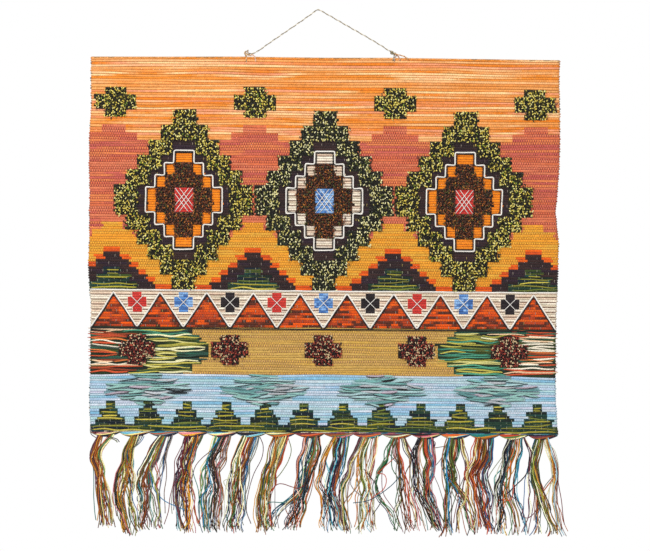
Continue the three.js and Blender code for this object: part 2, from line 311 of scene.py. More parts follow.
def spunYarn(name, twist, stitch, fuzz, roughness, sheen, relief):
    # A spun yarn. Its colour comes from the face, with the second colour showing in a diagonal stipple, and its
    # fibres and twist come from the yarn map, in millimetres.
    material = bpy.data.materials.new(name)
    material.use_nodes = True
    tree = material.node_tree
    shader = tree.nodes["Principled BSDF"]
    place = addNode(tree, "UVMap", uv_map="yarn")
    split = addNode(tree, "SeparateXYZ", {0: place.outputs[0]})
    tone = addNode(tree, "VertexColor", layer_name="shades")
    colour = tone.outputs["Color"]
    if stitch:
        # weft over warp: one stitch a warp pitch along, and half a pitch further on in each row
        row = addNode(tree, "Math", {0: split.outputs["Y"], 1: stitch["rowSpan"]}, operation="DIVIDE")
        row = addNode(tree, "Math", {0: row.outputs[0]}, operation="FLOOR")
        turns = addNode(tree, "Math", {0: row.outputs[0], 1: 1 / 2}, operation="MULTIPLY")
        turns = addNode(tree, "Math", {0: split.outputs["X"], 1: 1 / stitch["warp"], 2: turns.outputs[0]},
                        operation="MULTIPLY_ADD")
        wave = addNode(tree, "Math", {0: turns.outputs[0], 1: 2 * math.pi}, operation="MULTIPLY")
        wave = addNode(tree, "Math", {0: wave.outputs[0]}, operation="SINE")
        # each dot is round: the other wave runs round the ridge, highest on its crest
        part = addNode(tree, "Math", {0: split.outputs["Y"], 1: stitch["rowSpan"]}, operation="DIVIDE")
        part = addNode(tree, "Math", {0: part.outputs[0]}, operation="FRACT")
        part = addNode(tree, "Math", {0: part.outputs[0], 1: 2 * math.pi, 2: -0.37 * 2 * math.pi},
                       operation="MULTIPLY_ADD")
        crest = addNode(tree, "Math", {0: part.outputs[0]}, operation="COSINE")
        both = addNode(tree, "Math", {0: crest.outputs[0], 1: 1.3, 2: wave.outputs[0]}, operation="MULTIPLY_ADD")
        dots = addNode(tree, "MapRange", {
            "Value": both.outputs[0], "From Min": 0.9, "From Max": 1.9, "To Min": 0.0, "To Max": 1.0,
        }, interpolation_type="SMOOTHSTEP")
        speck = addNode(tree, "VertexColor", layer_name="specks")
        amount = addNode(tree, "Math", {0: dots.outputs[0], 1: speck.outputs["Alpha"]}, operation="MULTIPLY")
        colour = addNode(tree, "Mix", {0: amount.outputs[0], 6: colour, 7: speck.outputs["Color"]},
                         data_type="RGBA").outputs[2]
        height = wave.outputs[0]
    else:
        # plies twisted together: a slanting wave along and round the yarn
        slant = addNode(tree, "Math", {0: split.outputs["X"], 1: 1 / twist}, operation="MULTIPLY")
        slant = addNode(tree, "Math", {0: split.outputs["Y"], 1: 0.35, 2: slant.outputs[0]},
                        operation="MULTIPLY_ADD")
        wave = addNode(tree, "Math", {0: slant.outputs[0], 1: 2 * math.pi}, operation="MULTIPLY")
        height = addNode(tree, "Math", {0: wave.outputs[0]}, operation="SINE").outputs[0]
    # fibres: streaks 6 mm long and half a millimetre wide, and lumps of a few millimetres
    stretched = addNode(tree, "Mapping", {0: place.outputs[0], "Scale": (1 / 6, 2, 1)})
    fibres = addNode(tree, "TexNoise", {0: stretched.outputs[0], "Scale": 1.0, "Detail": 3.0, "Roughness": 0.6})
    lumps = addNode(tree, "TexNoise", {0: place.outputs[0], "Scale": 0.12, "Detail": 2.0})
    light = addNode(tree, "MapRange", {
        "Value": fibres.outputs["Fac"], "From Min": 0.3, "From Max": 0.7,
        "To Min": 1 - fuzz, "To Max": 1 + fuzz,
    })
    uneven = addNode(tree, "MapRange", {
        "Value": lumps.outputs["Fac"], "From Min": 0.3, "From Max": 0.7,
        "To Min": 1 - fuzz / 2, "To Max": 1 + fuzz / 2,
    })
    light = addNode(tree, "Math", {0: light.outputs[0], 1: uneven.outputs[0]}, operation="MULTIPLY")
    toned = addNode(tree, "VectorMath", {0: colour, "Scale": light.outputs[0]}, operation="SCALE")
    tree.links.new(toned.outputs[0], shader.inputs["Base Color"])
    rough = addNode(tree, "MapRange", {
        "Value": fibres.outputs["Fac"], "To Min": roughness - 0.12, "To Max": min(1.0, roughness + 0.12),
    })
    tree.links.new(rough.outputs[0], shader.inputs["Roughness"])
    raised = addNode(tree, "Math", {0: fibres.outputs["Fac"], 1: 0.8, 2: height}, operation="MULTIPLY_ADD")
    bump = addNode(tree, "Bump", {"Height": raised.outputs[0], "Strength": 0.7, "Distance": relief / 1000})
    tree.links.new(bump.outputs[0], shader.inputs["Normal"])
    shader.inputs["Specular IOR Level"].default_value = 0.25
    shader.inputs["Sheen Weight"].default_value = sheen
    shader.inputs["Sheen Roughness"].default_value = 0.5
    shader.inputs["Sheen Tint"].default_value = (1, 0.96, 0.9, 1)
    return material


rowSpan = 8  # millimetres of the yarn map given to a row, so that no two rows share their fibres
woven = {"warp": 5, "rowSpan": rowSpan}
# jute and wool weft beaten down over a thin warp: matt, hairy, a pin-prick of the other yarn at each warp
wovenWeft = spunYarn("handwovenWoolAndJuteWeft", 4, woven, 0.16, 0.85, 0.12, 0.45)
# the same weft from behind, where ends are darned in: duller and rougher
reverseWeft = spunYarn("wovenReverseWeft", 4, woven, 0.22, 0.92, 0.06, 0.6)
# woollen yarn pulled up in uncut loops: soft bright tops over dark gaps
loopedWool = spunYarn("uncutLoopPileWool", 3.2, None, 0.22, 0.8, 0.25, 0.3)
# thick slack-twisted yarn laid over the cloth: broad strands with a slow slant
laidYarn = spunYarn("slackTwistedLaidYarn", 7, None, 0.2, 0.75, 0.18, 0.4)
# hard-twisted cotton cord: crisp slanting plies and a slight lustre
couchedCotton = spunYarn("hardTwistedCottonCord", 3, None, 0.1, 0.6, 0.1, 0.4)
# warp ends left loose and gathered: many-coloured plied yarn, a little shiny where it bends
tasselPly = spunYarn("pliedWarpYarn", 3.4, None, 0.18, 0.66, 0.15, 0.35)
# retted jute, spun coarse: dry, grey-brown, stiff hairs
juteTwine = spunYarn("coarseSpunJuteTwine", 2.4, None, 0.28, 0.9, 0.08, 0.35)
print("yarn materials are made")


# ---- the hanging twine, from knot to knot over the nail

twine = {
    "thick": 3,
    "rings": 330,
    "lay": 21,             # a ply goes once round in this length
    "plyOffset": 0.68,
    "plyThick": 1.62,
    "dark": "#8E8370",
    "pale": "#E0D5BE",
    "route": [
        (-148.7, -4.2, -92.3), (-144, -4.2, -92.6), (-139, -4.2, -91.9), (-133, -4.2, -89.6),
        (-126, -4.2, -85.6), (-117, -4.2, -79.2), (-103, -4.2, -69.2), (-86, -4.2, -57.6),
        (-69, -4.2, -46), (-52, -4.2, -34.4), (-36, -4.2, -23.4), (-22, -4.2, -13.4),
        (-11, -4.2, -5.6), (-4, -4.2, -0.3), (0, -4.2, 1.5), (4, -4.2, 0.3),
        (12, -4.2, -4), (26, -4.2, -12), (44, -4.2, -22.4), (64, -4.2, -34),
        (84, -4.2, -45.4), (104, -4.2, -56.8), (122, -4.2, -67.4), (137, -4.2, -76.6),
        (147, -4.2, -83.2), (154.1, -4.2, -87.5),
    ],
}


def twoPly(line, lay, offset, thick, dark, pale, startTurn=0.0, darkThick=1.12):
    # two plies wound round a line: each is the line plus its offset turned once in every lay
    line = np.asarray(line, float)
    ahead = unit(np.gradient(line, axis=0))
    across = unit(np.cross(np.broadcast_to(np.array([0.03, -1, 0.02]), line.shape), ahead))
    up = np.cross(ahead, across)
    run = np.concatenate([[0], np.cumsum(np.linalg.norm(np.diff(line, axis=0), axis=1))])
    turn = 2 * np.pi * run / lay + startTurn
    plies = [
        line + offset * (np.cos(turn + phase)[:, None] * across + np.sin(turn + phase)[:, None] * up)
        for phase in (0, np.pi)
    ]
    shades = np.array([toLinear(dark), toLinear(pale)])
    radius = np.array([[darkThick], [1 / darkThick]]) * thick / 2
    return tubes(plies, radius, shades, circle(6), outward=(0.03, -1, 0.02))


twineLine = smoothLine(twine["route"], twine["rings"])
hangingTwine = makePiece("hanging_twine", [
    twoPly(twineLine, twine["lay"], twine["plyOffset"], twine["plyThick"], twine["dark"], twine["pale"]),
], juteTwine)
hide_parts("hanging_cord")

knots = {
    "thick": 3.0,
    "lay": 9,
    "shades": {
        "left": ("#A8845A", "#F0D2AA"), "leftBack": ("#9A7850", "#E4C29A"), "leftStub": ("#8A6A48", "#E4C79A"),
        "leftTurn": ("#B08C5A", "#F2D4B4"), "leftLeg": ("#D8A888", "#F6D8C4"),
        "right": ("#6E6650", "#C8B896"), "rightBar": ("#7E7458", "#D0C09A"), "rightLeg": ("#9A7C70", "#D8B8A4"),
        "rightBack": ("#A87858", "#E8B898"), "tail": ("#B88454", "#EEC08C"),
    },
    # the left knot: the twine curls round itself and one leg goes down over the cloth's edge
    "left": [
        (-146, -4.4, -93.4), (-150, -6.2, -94.8), (-155.5, -5.6, -93.4), (-157.4, -3.4, -90.6),
        (-154.6, -2.4, -87.6), (-150.8, -4.0, -87.0), (-149.6, -6.8, -90.0), (-152.4, -7.2, -93.6),
        (-153.6, -5.2, -97.4), (-153.3, -4.6, -101.5), (-153.1, -5.4, -105.5), (-153, -5.6, -109.6),
        (-152.9, -3.6, -112.6),
    ],
    "leftBack": [
        (-154.6, -2.6, -89.4), (-155.8, -2.2, -93.5), (-154.6, -2.0, -98), (-153.8, -1.9, -103),
        (-153.5, -1.6, -106.5),
    ],
    "leftStub": [(-151.6, -5.6, -88.6), (-150.2, -6.2, -86.6), (-149.4, -6.4, -84.9)],
    "leftTurn": [
        (-156.2, -3.0, -92.6), (-153.4, -7.0, -95.6), (-148, -7.4, -96.4), (-143.4, -6.4, -95.6), (-140.6, -5.4, -94.2),
    ],
    # and a second leg comes out of it towards the middle, and goes down into the top rows
    "leftLeg": [
        (-149, -3.6, -94.8), (-143, -4.6, -96.2), (-138.4, -5.8, -95.6), (-135.6, -6.0, -98.4),
        (-134.2, -5.6, -102.6), (-133.6, -5.2, -106.6), (-133.4, -3.6, -110.4),
    ],
    # the right knot: darker and tighter, with two legs and a free end that lies out over the edge
    "right": [
        (153.4, -4.4, -87.2), (156.6, -6.8, -87.6), (160.6, -6.2, -90.2), (160.4, -3.4, -93.4),
        (156.6, -2.6, -92.6), (155.4, -4.6, -89.4), (158.4, -7.4, -88.4), (161.4, -6.6, -92.2),
        (162.6, -5.0, -96.4), (162.6, -4.8, -100.6), (161.0, -5.8, -104.6), (160.2, -4.0, -109.6),
    ],
    "rightBar": [(156.4, -7.6, -91.2), (160, -8.2, -92.2), (164, -7.2, -91.8), (166.6, -5.4, -93.6), (167, -4.4, -96.6)],
    "rightLeg": [
        (163, -3.0, -91), (166.4, -3.4, -95), (166.2, -4.4, -99), (163.8, -5.6, -103),
        (163.4, -5.8, -106.6), (164, -4.0, -110.4),
    ],
    "rightBack": [
        (157.4, -2.6, -89), (162.6, -2.0, -92.4), (168, -2.6, -95.6), (172, -4.2, -99.2),
        (174.6, -5.6, -103.6), (175, -4.6, -108.8),
    ],
    "tail": [
        (158, -5.0, -91), (164, -6.2, -93), (172, -7.2, -95.6), (182, -7.8, -98.2),
        (190, -8.0, -102.5), (193, -8.0, -106),
    ],
}


def knotPart(line, thick, dark, pale, spacing=0.9):
    long = np.linalg.norm(np.diff(np.asarray(line), axis=0), axis=1).sum()
    rings = max(8, int(long * 1.1 / spacing))
    return twoPly(smoothLine(line, rings), knots["lay"], thick * 0.21, thick * 0.56, dark, pale)


for name, lines in (("left", ("left", "leftBack", "leftStub", "leftTurn", "leftLeg")),
                    ("right", ("right", "rightBar", "rightLeg", "rightBack", "tail"))):
    parts = [knotPart(knots[part], knots["thick"], *knots["shades"][part]) for part in lines]
    piece = makePiece("twine_knot_" + name, parts, juteTwine)
    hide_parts("knot_" + name)

print("the twine hangs from knot to knot")


# ---- how the cloth hangs

cloth = {
    "width": 1000,
    "height": 800,
    "rows": 150,
    "middle": (16, 0, -103.6),   # of the top edge
    "turn": math.radians(0.45),
    # how far each selvedge stands out, by the distance down
    "down": (0, 50, 104, 170, 232, 290, 324, 392, 440, 490, 535, 600, 670, 730, 775, 800),
    "left": (0, 0, -1, 3, 3, 1, 2, 1, 3, 0, -4, -3, -4, -2, -4, -7),
    "right": (0, -1, 1, 2, 1, -3, -6, 1, 0, -1, -3, -4, -4, -3, 0, 2),
    # how far the top edge is drawn up, by the distance across
    "edgeAcross": (-500, -400, -170, 0, 140, 260, 500),
    "edgeRise": (0, 1, 3, 2, 3, 2, 0),
    "edgeFade": 150,
    "flatHalf": 60,
    "wavePitch": 300,
    "waveCrest": 3,
    "waveAtTop": 0.35,
    "cornerCurl": 5,
    "topLean": 3,
    "topLeanFade": 300,
}
pitch = cloth["height"] / cloth["rows"]


def onCloth(across, down, out):
    # Across plus the selvedge's drift times the cube of the share across, down from the drawn-up top edge, and
    # out from a back that billows in cosine waves, curls at its bottom corners and leans at its top ones; the
    # whole is turned about the middle of the top edge.
    across, down, out = np.broadcast_arrays(*(np.asarray(a, float) for a in (across, down, out)))
    half = cloth["width"] / 2
    share = np.abs(across) / half
    low = down / cloth["height"]
    side = np.maximum(0, np.abs(across) - cloth["flatHalf"])
    edge = np.where(across < 0, np.interp(down, cloth["down"], cloth["left"]),
                    np.interp(down, cloth["down"], cloth["right"]))
    rise = np.interp(across, cloth["edgeAcross"], cloth["edgeRise"]) * np.maximum(0, 1 - down / cloth["edgeFade"])
    billow = cloth["waveCrest"] / 2 * (1 - np.cos(2 * np.pi * side / cloth["wavePitch"])) * (
        cloth["waveAtTop"] + (1 - cloth["waveAtTop"]) * low)
    corner = cloth["cornerCurl"] * share ** 6 * low ** 4
    lean = cloth["topLean"] * (side / (half - cloth["flatHalf"])) ** 2 * np.maximum(
        0, 1 - down / cloth["topLeanFade"])
    x = across + edge * np.sign(across) * share ** 3
    y = -(billow + corner + lean) - out
    z = rise - down
    cos, sin = math.cos(cloth["turn"]), math.sin(cloth["turn"])
    return np.stack([cloth["middle"][0] + x * cos + z * sin, cloth["middle"][1] + y,
                     cloth["middle"][2] - x * sin + z * cos], axis=-1)


def edgeHeight(x, down):
    # height of a line along the cloth, the given distance down, at a place along X
    across = (np.asarray(x, float) - cloth["middle"][0]) / math.cos(cloth["turn"]) + down * math.tan(cloth["turn"])
    return onCloth(across, down, 0)[..., 2]


# ---- the design: stepped lozenges, peaks and bands in the cloth's own yarns

# a yarn's under colours go on a ridge's lower side: partly the yarn under the ridge, partly painted shade, so mostly
# darker than its top colours
yarns = {
    "sunset": {"shades": ("#E8882A", "#EA9C54", "#F0B67C", "#E89144", "#EDA662", "#E67D1C", "#EA9870", "#F5CC92"),
               "under": ("#D2761E", "#B46A1A", "#DC8A38", "#BC7C24", "#DA7A12", "#E2A662"), "streak": 120,
               "speck": "#B87A3A", "amount": 0.2, "blend": 0.8, "bead": 0.06},
    "rose": {"shades": ("#DC7C56", "#D86E44", "#CE684E", "#E2824A", "#C86052", "#D8744E"),
             "under": ("#CE6C4A", "#CA6240", "#C8604A"), "streak": 90, "speck": "#8A3034", "amount": 1.0, "patchRows": 7},
    "ember": {"shades": ("#E0560E", "#EA6010", "#D44E16"), "streak": 60, "speck": "#9A3A14", "amount": 0.4},
    "mustard": {"shades": ("#E8A632", "#EC9A28", "#E2A83C", "#EEA02E"), "under": ("#E49C2E", "#DA9226"),
                "streak": 130, "speck": "#B4701C", "amount": 1.0, "patchRows": 5},
    "satin": {"shades": ("#2A1A1C", "#35211F", "#2B1B28", "#241618"), "streak": 50, "speck": "#4A3234",
              "amount": 0.3},
    "orange": {"shades": ("#F58A12", "#F28A1C", "#F08210"), "streak": 50, "speck": "#D06C10", "amount": 0.3},
    "cream": {"shades": ("#EDE0CC", "#F8ECD6", "#DECFB4", "#EAD0B6"), "streak": 70, "speck": "#C99A7C",
              "amount": 0.35},
    "roof": {"shades": ("#D84C14", "#F05A06", "#5A2A1A", "#B8421A", "#E65E12", "#7E321A"), "streak": 26,
             "speck": "#3A1812", "amount": 0.35},
    "red": {"shades": ("#C8322B", "#D23C33"), "streak": 20, "speck": "#8A1E20", "amount": 0.3},
    "blue": {"shades": ("#5C8FD0", "#8FB8E6", "#3E68A8"), "streak": 12, "speck": "#2E4E86", "amount": 0.3},
    "black": {"shades": ("#1C1518", "#2A2226"), "streak": 20, "speck": "#3A3236", "amount": 0.2},
    "mossGround": {"shades": ("#1F1C12", "#2B2A16", "#181A10"), "streak": 20, "speck": "#3C4A1E", "amount": 0.3},
    "rustGround": {"shades": ("#2A140F", "#3A1A12", "#221510"), "streak": 20, "speck": "#55301A", "amount": 0.3},
    "tan": {"shades": ("#D2A64C", "#C8A054", "#D0A856"), "under": ("#BE964A", "#C29844"), "streak": 90,
            "speck": "#96664E", "amount": 1.0, "patchRows": 2},
    "bank": {"shades": ("#2A3A20", "#1E2A1C", "#3E4C20", "#2F6450", "#1E2220"),
             "under": ("#1A2616", "#26301A", "#14201A"), "streak": 60, "speck": "#14201A", "amount": 0.4},
    "water": {"shades": ("#BACEDA", "#CACADC", "#AACCD6", "#D6DBE6", "#9CBEDC", "#C2CCD4", "#AED0D2", "#80B6D4"),
              "under": ("#6E9CAE", "#92A0B2", "#3E829E", "#9EB2BA", "#5E889E", "#9CB2B6", "#3A88B0", "#8C88A2"),
              "streak": 110, "speck": "#6E9AAE", "amount": 0.5, "blend": 0.9, "bead": 0.08},
    "teeth": {"shades": ("#1E3A2B", "#16211C", "#20443A", "#14212E", "#3A4A1E"),
              "under": ("#16211C", "#8C8A2E", "#14212E"), "streak": 55, "speck": "#0D1412", "amount": 0.4},
    "ripple": {"shades": ("#9CB8C2", "#AEBCCA", "#7FA6AE", "#B9CCD2"), "under": ("#2E3A3E", "#4E666E", "#39484E"),
               "streak": 40, "speck": "#2E3A3E", "amount": 0.4, "blend": 0.9},
}
yarnNames = list(yarns)

medallions = (-300, 0, 300)
motifs = {
    "medallionDown": 304,
    "ring": {"step": (24.5, 32), "steps": 6, "hole": 4},
    "halo": {"step": (20, 26), "steps": 4},
    "heart": {"step": (20, 26), "steps": 3, "hole": 1},
    "star": {"step": (22, 16), "steps": 2, "at": [(a, 96) for a in (-448, -150, 150, 448)]},
    "bud": {"step": (19, 16), "steps": 2, "at": [(a, 624) for a in (-400, -200, 0, 200, 400)]},
    "rosePeaks": {"down": 208, "pitch": 300, "first": 150, "step": (25, 16), "most": 4},
    "mustardPeaks": {"down": 432, "pitch": 300, "first": 150, "step": (22, 16), "most": 5},
    "duskPeaks": {"down": 498, "pitch": 300, "first": 150, "step": (18, 16), "most": 5},
    "duskBorder": 10.7,
    "duskHeart": 32,       # how far inside the dark peaks their green hearts begin
    "band": (498, 578),
    "bandPitch": 100,
    "meadow": (578, 675),
    "bankFrom": 245,
    "bankStep": (18, 16),
    "teeth": {"down": 800, "pitch": 1000 / 12, "first": 500 / 12, "step": (10.42, 16), "most": 4},
    "ripple": {"step": (30, 11), "steps": 3, "at": [(a, 710) for a in (-375, -125, 125, 375)]},
    "bandInset": 5.5,      # how far under the band's top its triangles begin, hidden by their outline
    "jewel": {"step": (10, 32 / 3), "steps": 2},   # the small crossed lozenges in the band
    "jewelDown": 1568 / 3,
    "jewels": [-400 + 100 * i for i in range(9)],
}


def inLozenge(across, down, at, step, steps):
    # inside where the distance across is under the steps left, one fewer for each whole step down or up
    level = np.floor(np.abs(down - at[1]) / step[1])
    return (level < steps) & (np.abs(across - at[0]) < (steps - level) * step[0])


def peaks(across, shape):
    # a row of stepped peaks: the most steps at each middle, one fewer for each whole step away from it
    away = np.abs((across - shape["first"] + shape["pitch"] / 2) % shape["pitch"] - shape["pitch"] / 2)
    return np.clip(shape["most"] - np.floor(away / shape["step"][0]), 0, None) * shape["step"][1]


def bandAway(across):
    # distance from the middle of the nearest upright triangle of the band
    return np.abs(across % motifs["bandPitch"] - motifs["bandPitch"] / 2)


def yarnAt(across, down):
    # the number of the yarn that shows at a place, each area laid over those before it
    across, down = np.broadcast_arrays(np.asarray(across, float), np.asarray(down, float))
    kind = np.zeros(across.shape, int)

    def lay(where, name):
        kind[where] = yarnNames.index(name)

    rose = motifs["rosePeaks"]["down"] - peaks(across, motifs["rosePeaks"])
    mustard = motifs["mustardPeaks"]["down"] - peaks(across, motifs["mustardPeaks"])
    lay(down > rose, "rose")
    lay(down > mustard, "mustard")
    dusk = motifs["duskPeaks"]["down"] - peaks(across, motifs["duskPeaks"])
    lay(down > dusk - motifs["duskBorder"], "ember")
    lay(down > dusk, "satin")
    lay(down > dusk + motifs["duskHeart"], "teeth")
    for place in medallions:
        at = (place, motifs["medallionDown"])
        ring, halo, heart = motifs["ring"], motifs["halo"], motifs["heart"]
        lay(inLozenge(across, down, at, ring["step"], ring["steps"]), "mossGround")
        lay(inLozenge(across, down, at, ring["step"], ring["hole"]), "satin")
        lay(inLozenge(across, down, at, halo["step"], halo["steps"]), "cream" if place == 0 else "orange")
        lay(inLozenge(across, down, at, heart["step"], heart["steps"]), "rustGround")
        lay(inLozenge(across, down, at, heart["step"], heart["hole"]), "blue" if place == 0 else "red")
    for at in motifs["star"]["at"]:
        lay(inLozenge(across, down, at, motifs["star"]["step"], 2), "mossGround")
    top, bottom = motifs["band"]
    lay(down > top, "cream")
    start = top + motifs["bandInset"]
    upright = bandAway(across) / (motifs["bandPitch"] / 2) < (down - start) / (bottom - start)
    lay((down > top) & upright, "roof")
    jewel = motifs["jewel"]
    for number, place in enumerate(motifs["jewels"]):
        lay(inLozenge(across, down, (place, motifs["jewelDown"]), jewel["step"], jewel["steps"]),
            ("red", "blue", "black")[number % 3])
    lay(down > bottom, "tan")
    meadow = motifs["meadow"]
    middle = sum(meadow) / 2
    bank = motifs["bankFrom"] + motifs["bankStep"][0] * np.floor(np.abs(down - middle) / motifs["bankStep"][1])
    lay((down > bottom) & (np.abs(across) > bank), "bank")
    for at in motifs["bud"]["at"]:
        lay(inLozenge(across, down, at, motifs["bud"]["step"], 2), "rustGround")
    lay(down > meadow[1], "water")
    for at in motifs["ripple"]["at"]:
        lay(inLozenge(across, down, at, motifs["ripple"]["step"], motifs["ripple"]["steps"]), "ripple")
    lay(down > motifs["teeth"]["down"] - peaks(across, motifs["teeth"]), "teeth")
    return kind


def stitchShades(random, kind, across):
    # Each row starts at a shade of its own, and a slow random run along the row moves it to the neighbouring
    # ones, blended over the last share of each. The ridge's lower side does the same by itself with the under
    # colours, which are partly the yarn under the ridge and partly painted shade. The second colour shows in
    # patches, where another slow run is high.
    rows, stitches = kind.shape
    upper, under, specks = np.zeros((rows, stitches, 3)), np.zeros((rows, stitches, 3)), np.zeros((rows, stitches, 4))
    depth = np.zeros((rows, stitches))

    def blended(colours, reach, turns, patchRows, blend):
        tones = np.array([toLinear(text) for text in colours])
        start = random.uniform(0, len(tones), (rows, 1))
        if patchRows > 1:
            # in the twills the shade keeps to a patch of rows, and each row strays a little from it
            start = 0.7 * len(tones) * drift(random, 1, np.arange(rows), patchRows).T + random.normal(0, 0.3, (rows, 1))
        place = start + turns * drift(random, rows, across, reach)
        place = place + random.normal(0, 0.05, place.shape)
        step = np.floor(place).astype(int)
        share = np.clip((place - step - 1 + blend) / blend, 0, 1)[..., None]
        return tones[step % len(tones)] * (1 - share) + tones[(step + 1) % len(tones)] * share

    for number, yarn in enumerate(yarns.values()):
        here = kind == number
        patch = np.clip(0.75 + 0.9 * drift(random, rows, across, 70), 0.1, 1)
        patchRows, blend = yarn.get("patchRows", 1), yarn.get("blend", 0.34)
        top = blended(yarn["shades"], yarn["streak"], 1.3, patchRows, blend)
        # painted shade: a yarn without under colours gets its top colours darkened to 0.8 on the ridge's lower side
        low = top * 0.8
        if "under" in yarn:
            low = blended(yarn["under"], yarn["streak"] * 0.8, 1.5, patchRows, blend)
        upper[here], under[here] = top[here], low[here]
        specks[here] = (*toLinear(yarn["speck"]), yarn["amount"])
        specks[here, 3] *= patch[here]
        depth[here] = yarn.get("bead", 0.14)
    value = 1 + random.normal(0, 0.035, (rows, stitches, 1)) + 0.06 * drift(random, rows, across, 40)[..., None]
    value = np.clip(value, 0.7, 1.3)
    # painted shade and light of the beads: on the ridge's lower side every other stitch is darker and the next lighter,
    # in patches
    bead = 1 - 2 * ((np.arange(rows)[:, None] + np.arange(stitches)) % 2)
    bead = 1 + depth * bead * np.clip(0.6 + drift(random, rows, across, 60), 0, 1)
    return upper * value, under * value * bead[..., None], specks


# ---- ground cloth: the closed sheet of warp and weft that everything else lies on

ground = {"columns": 60, "rows": 48, "front": 2.35, "back": 1.9, "inset": 1.5}


def groundSheet():
    # a closed sheet: a grid of points across and down at the front, the same grid at the back, and a rim
    columns, rows = ground["columns"], ground["rows"]
    across = np.linspace(-1, 1, columns + 1) * (cloth["width"] / 2 - ground["inset"])
    down = np.linspace(ground["inset"], cloth["height"] - ground["inset"], rows + 1)
    u, v = np.meshgrid(across, down)
    points = np.concatenate([onCloth(u, v, ground[side]).reshape(-1, 3) for side in ("front", "back")])
    number = np.arange((rows + 1) * (columns + 1)).reshape(rows + 1, columns + 1)
    face = np.stack([number[:-1, :-1], number[1:, :-1], number[1:, 1:], number[:-1, 1:]], axis=-1).reshape(-1, 4)
    rim = np.concatenate([number[0, :-1], number[:-1, -1], number[-1, :0:-1], number[:0:-1, 0]])
    after = np.roll(rim, -1)
    count = number.size
    edge = np.stack([rim, after, after + count, rim + count], axis=-1)
    quads = np.concatenate([face, face[:, ::-1] + count, edge])
    places = np.concatenate([np.stack([u, v], axis=-1).reshape(-1, 2)] * 2)
    # baking map: the front in the lower half, the back in the upper half, the rim in a strip between them
    share = (places - (across[0], down[0])) / (np.ptp(across), np.ptp(down))
    strip = np.concatenate([
        share[face] * (1, 0.48), share[face[:, ::-1]] * (1, 0.48) + (0, 0.52),
        np.stack([np.stack([np.arange(len(rim)) + a, np.full(len(rim), b)], axis=-1)
                  for a, b in ((0, 0.49), (1, 0.49), (1, 0.51), (0, 0.51))], axis=1) / (len(rim), 1),
    ]).reshape(-1, 2)
    shade = np.tile(toLinear("#7A5230"), (len(quads), 1))
    return {
        "points": points, "quads": quads, "shades": shade, "specks": np.zeros((len(quads), 4)),
        "yarn": places[quads.reshape(-1) % len(places)], "strip": strip,
        "tube": np.zeros(len(quads), int), "size": (1.0, 1.0),
    }


# jute warp and weft in a plain weave: coarse, brown, open-textured
juteGround = spunYarn("plainWovenJuteCanvas", 5, None, 0.25, 0.95, 0.05, 0.5)
groundCloth = makePiece("ground_cloth", [groundSheet()], juteGround)
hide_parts("cloth")


# ---- weft ridges, front and back

ridges = {
    "stitch": 5,           # millimetres along the row, one warp apart
    "foot": 2.6,           # the valley's height above the cloth's back
    "profile": [(1, 0), (0.5, 0.95), (-0.45, 0.95), (-1, 0)],
    "plump": 0.58,         # a ridge's height by its half width, in the heathered areas
    "close": 0.19,         # and in the twills, which are beaten flatter
    "uneven": (0.5, 1.2),  # how much of that height a row has, at least and at most
    "overlap": 1.05,       # a ridge's width by the room it has, in the twills
    "looseOverlap": 0.3,   # and how much wider it is where the ridges are full
    "wander": 2.1,         # how far the rows drift off level, heathered
    "steady": 0.6,         # and in the twills
    "ragged": 1.6,         # how far a row's colour changes stray from the design
    "wanderAcross": 125,
    "wanderDown": 17,
    "loose": {"sunset": 0.5, "bank": 1, "water": 0.7, "teeth": 1, "ripple": 0.8},   # how full, 1 is heathered
    "backFoot": 1.75,
    "backPlump": 0.42,
    "backStitch": 12.5,
}


def valleyLines(random, across):
    # The lines between the rows, from the top edge to the bottom one. Each lies its whole rows down plus a
    # random field, smooth across and down, which is weak where the cloth is in twill and nothing at the edges.
    lines = np.arange(cloth["rows"] + 1)
    down = lines * pitch
    knots = int(cloth["height"] / ridges["wanderDown"]) + 3
    coarse = drift(random, knots, across, ridges["wanderAcross"])
    at = down / ridges["wanderDown"]
    knot = at.astype(int)
    share = ((1 - np.cos(np.pi * (at - knot))) / 2)[:, None]
    field = coarse[knot] * (1 - share) + coarse[knot + 1] * share
    twill = np.clip((down - 190) / 30, 0, 1) * np.clip((600 - down) / 30, 0, 1)
    edge = np.clip(np.minimum(down, cloth["height"] - down) / 25, 0, 1)
    reach = edge * (ridges["wander"] + (ridges["steady"] - ridges["wander"]) * twill)
    return down[:, None] + reach[:, None] * field


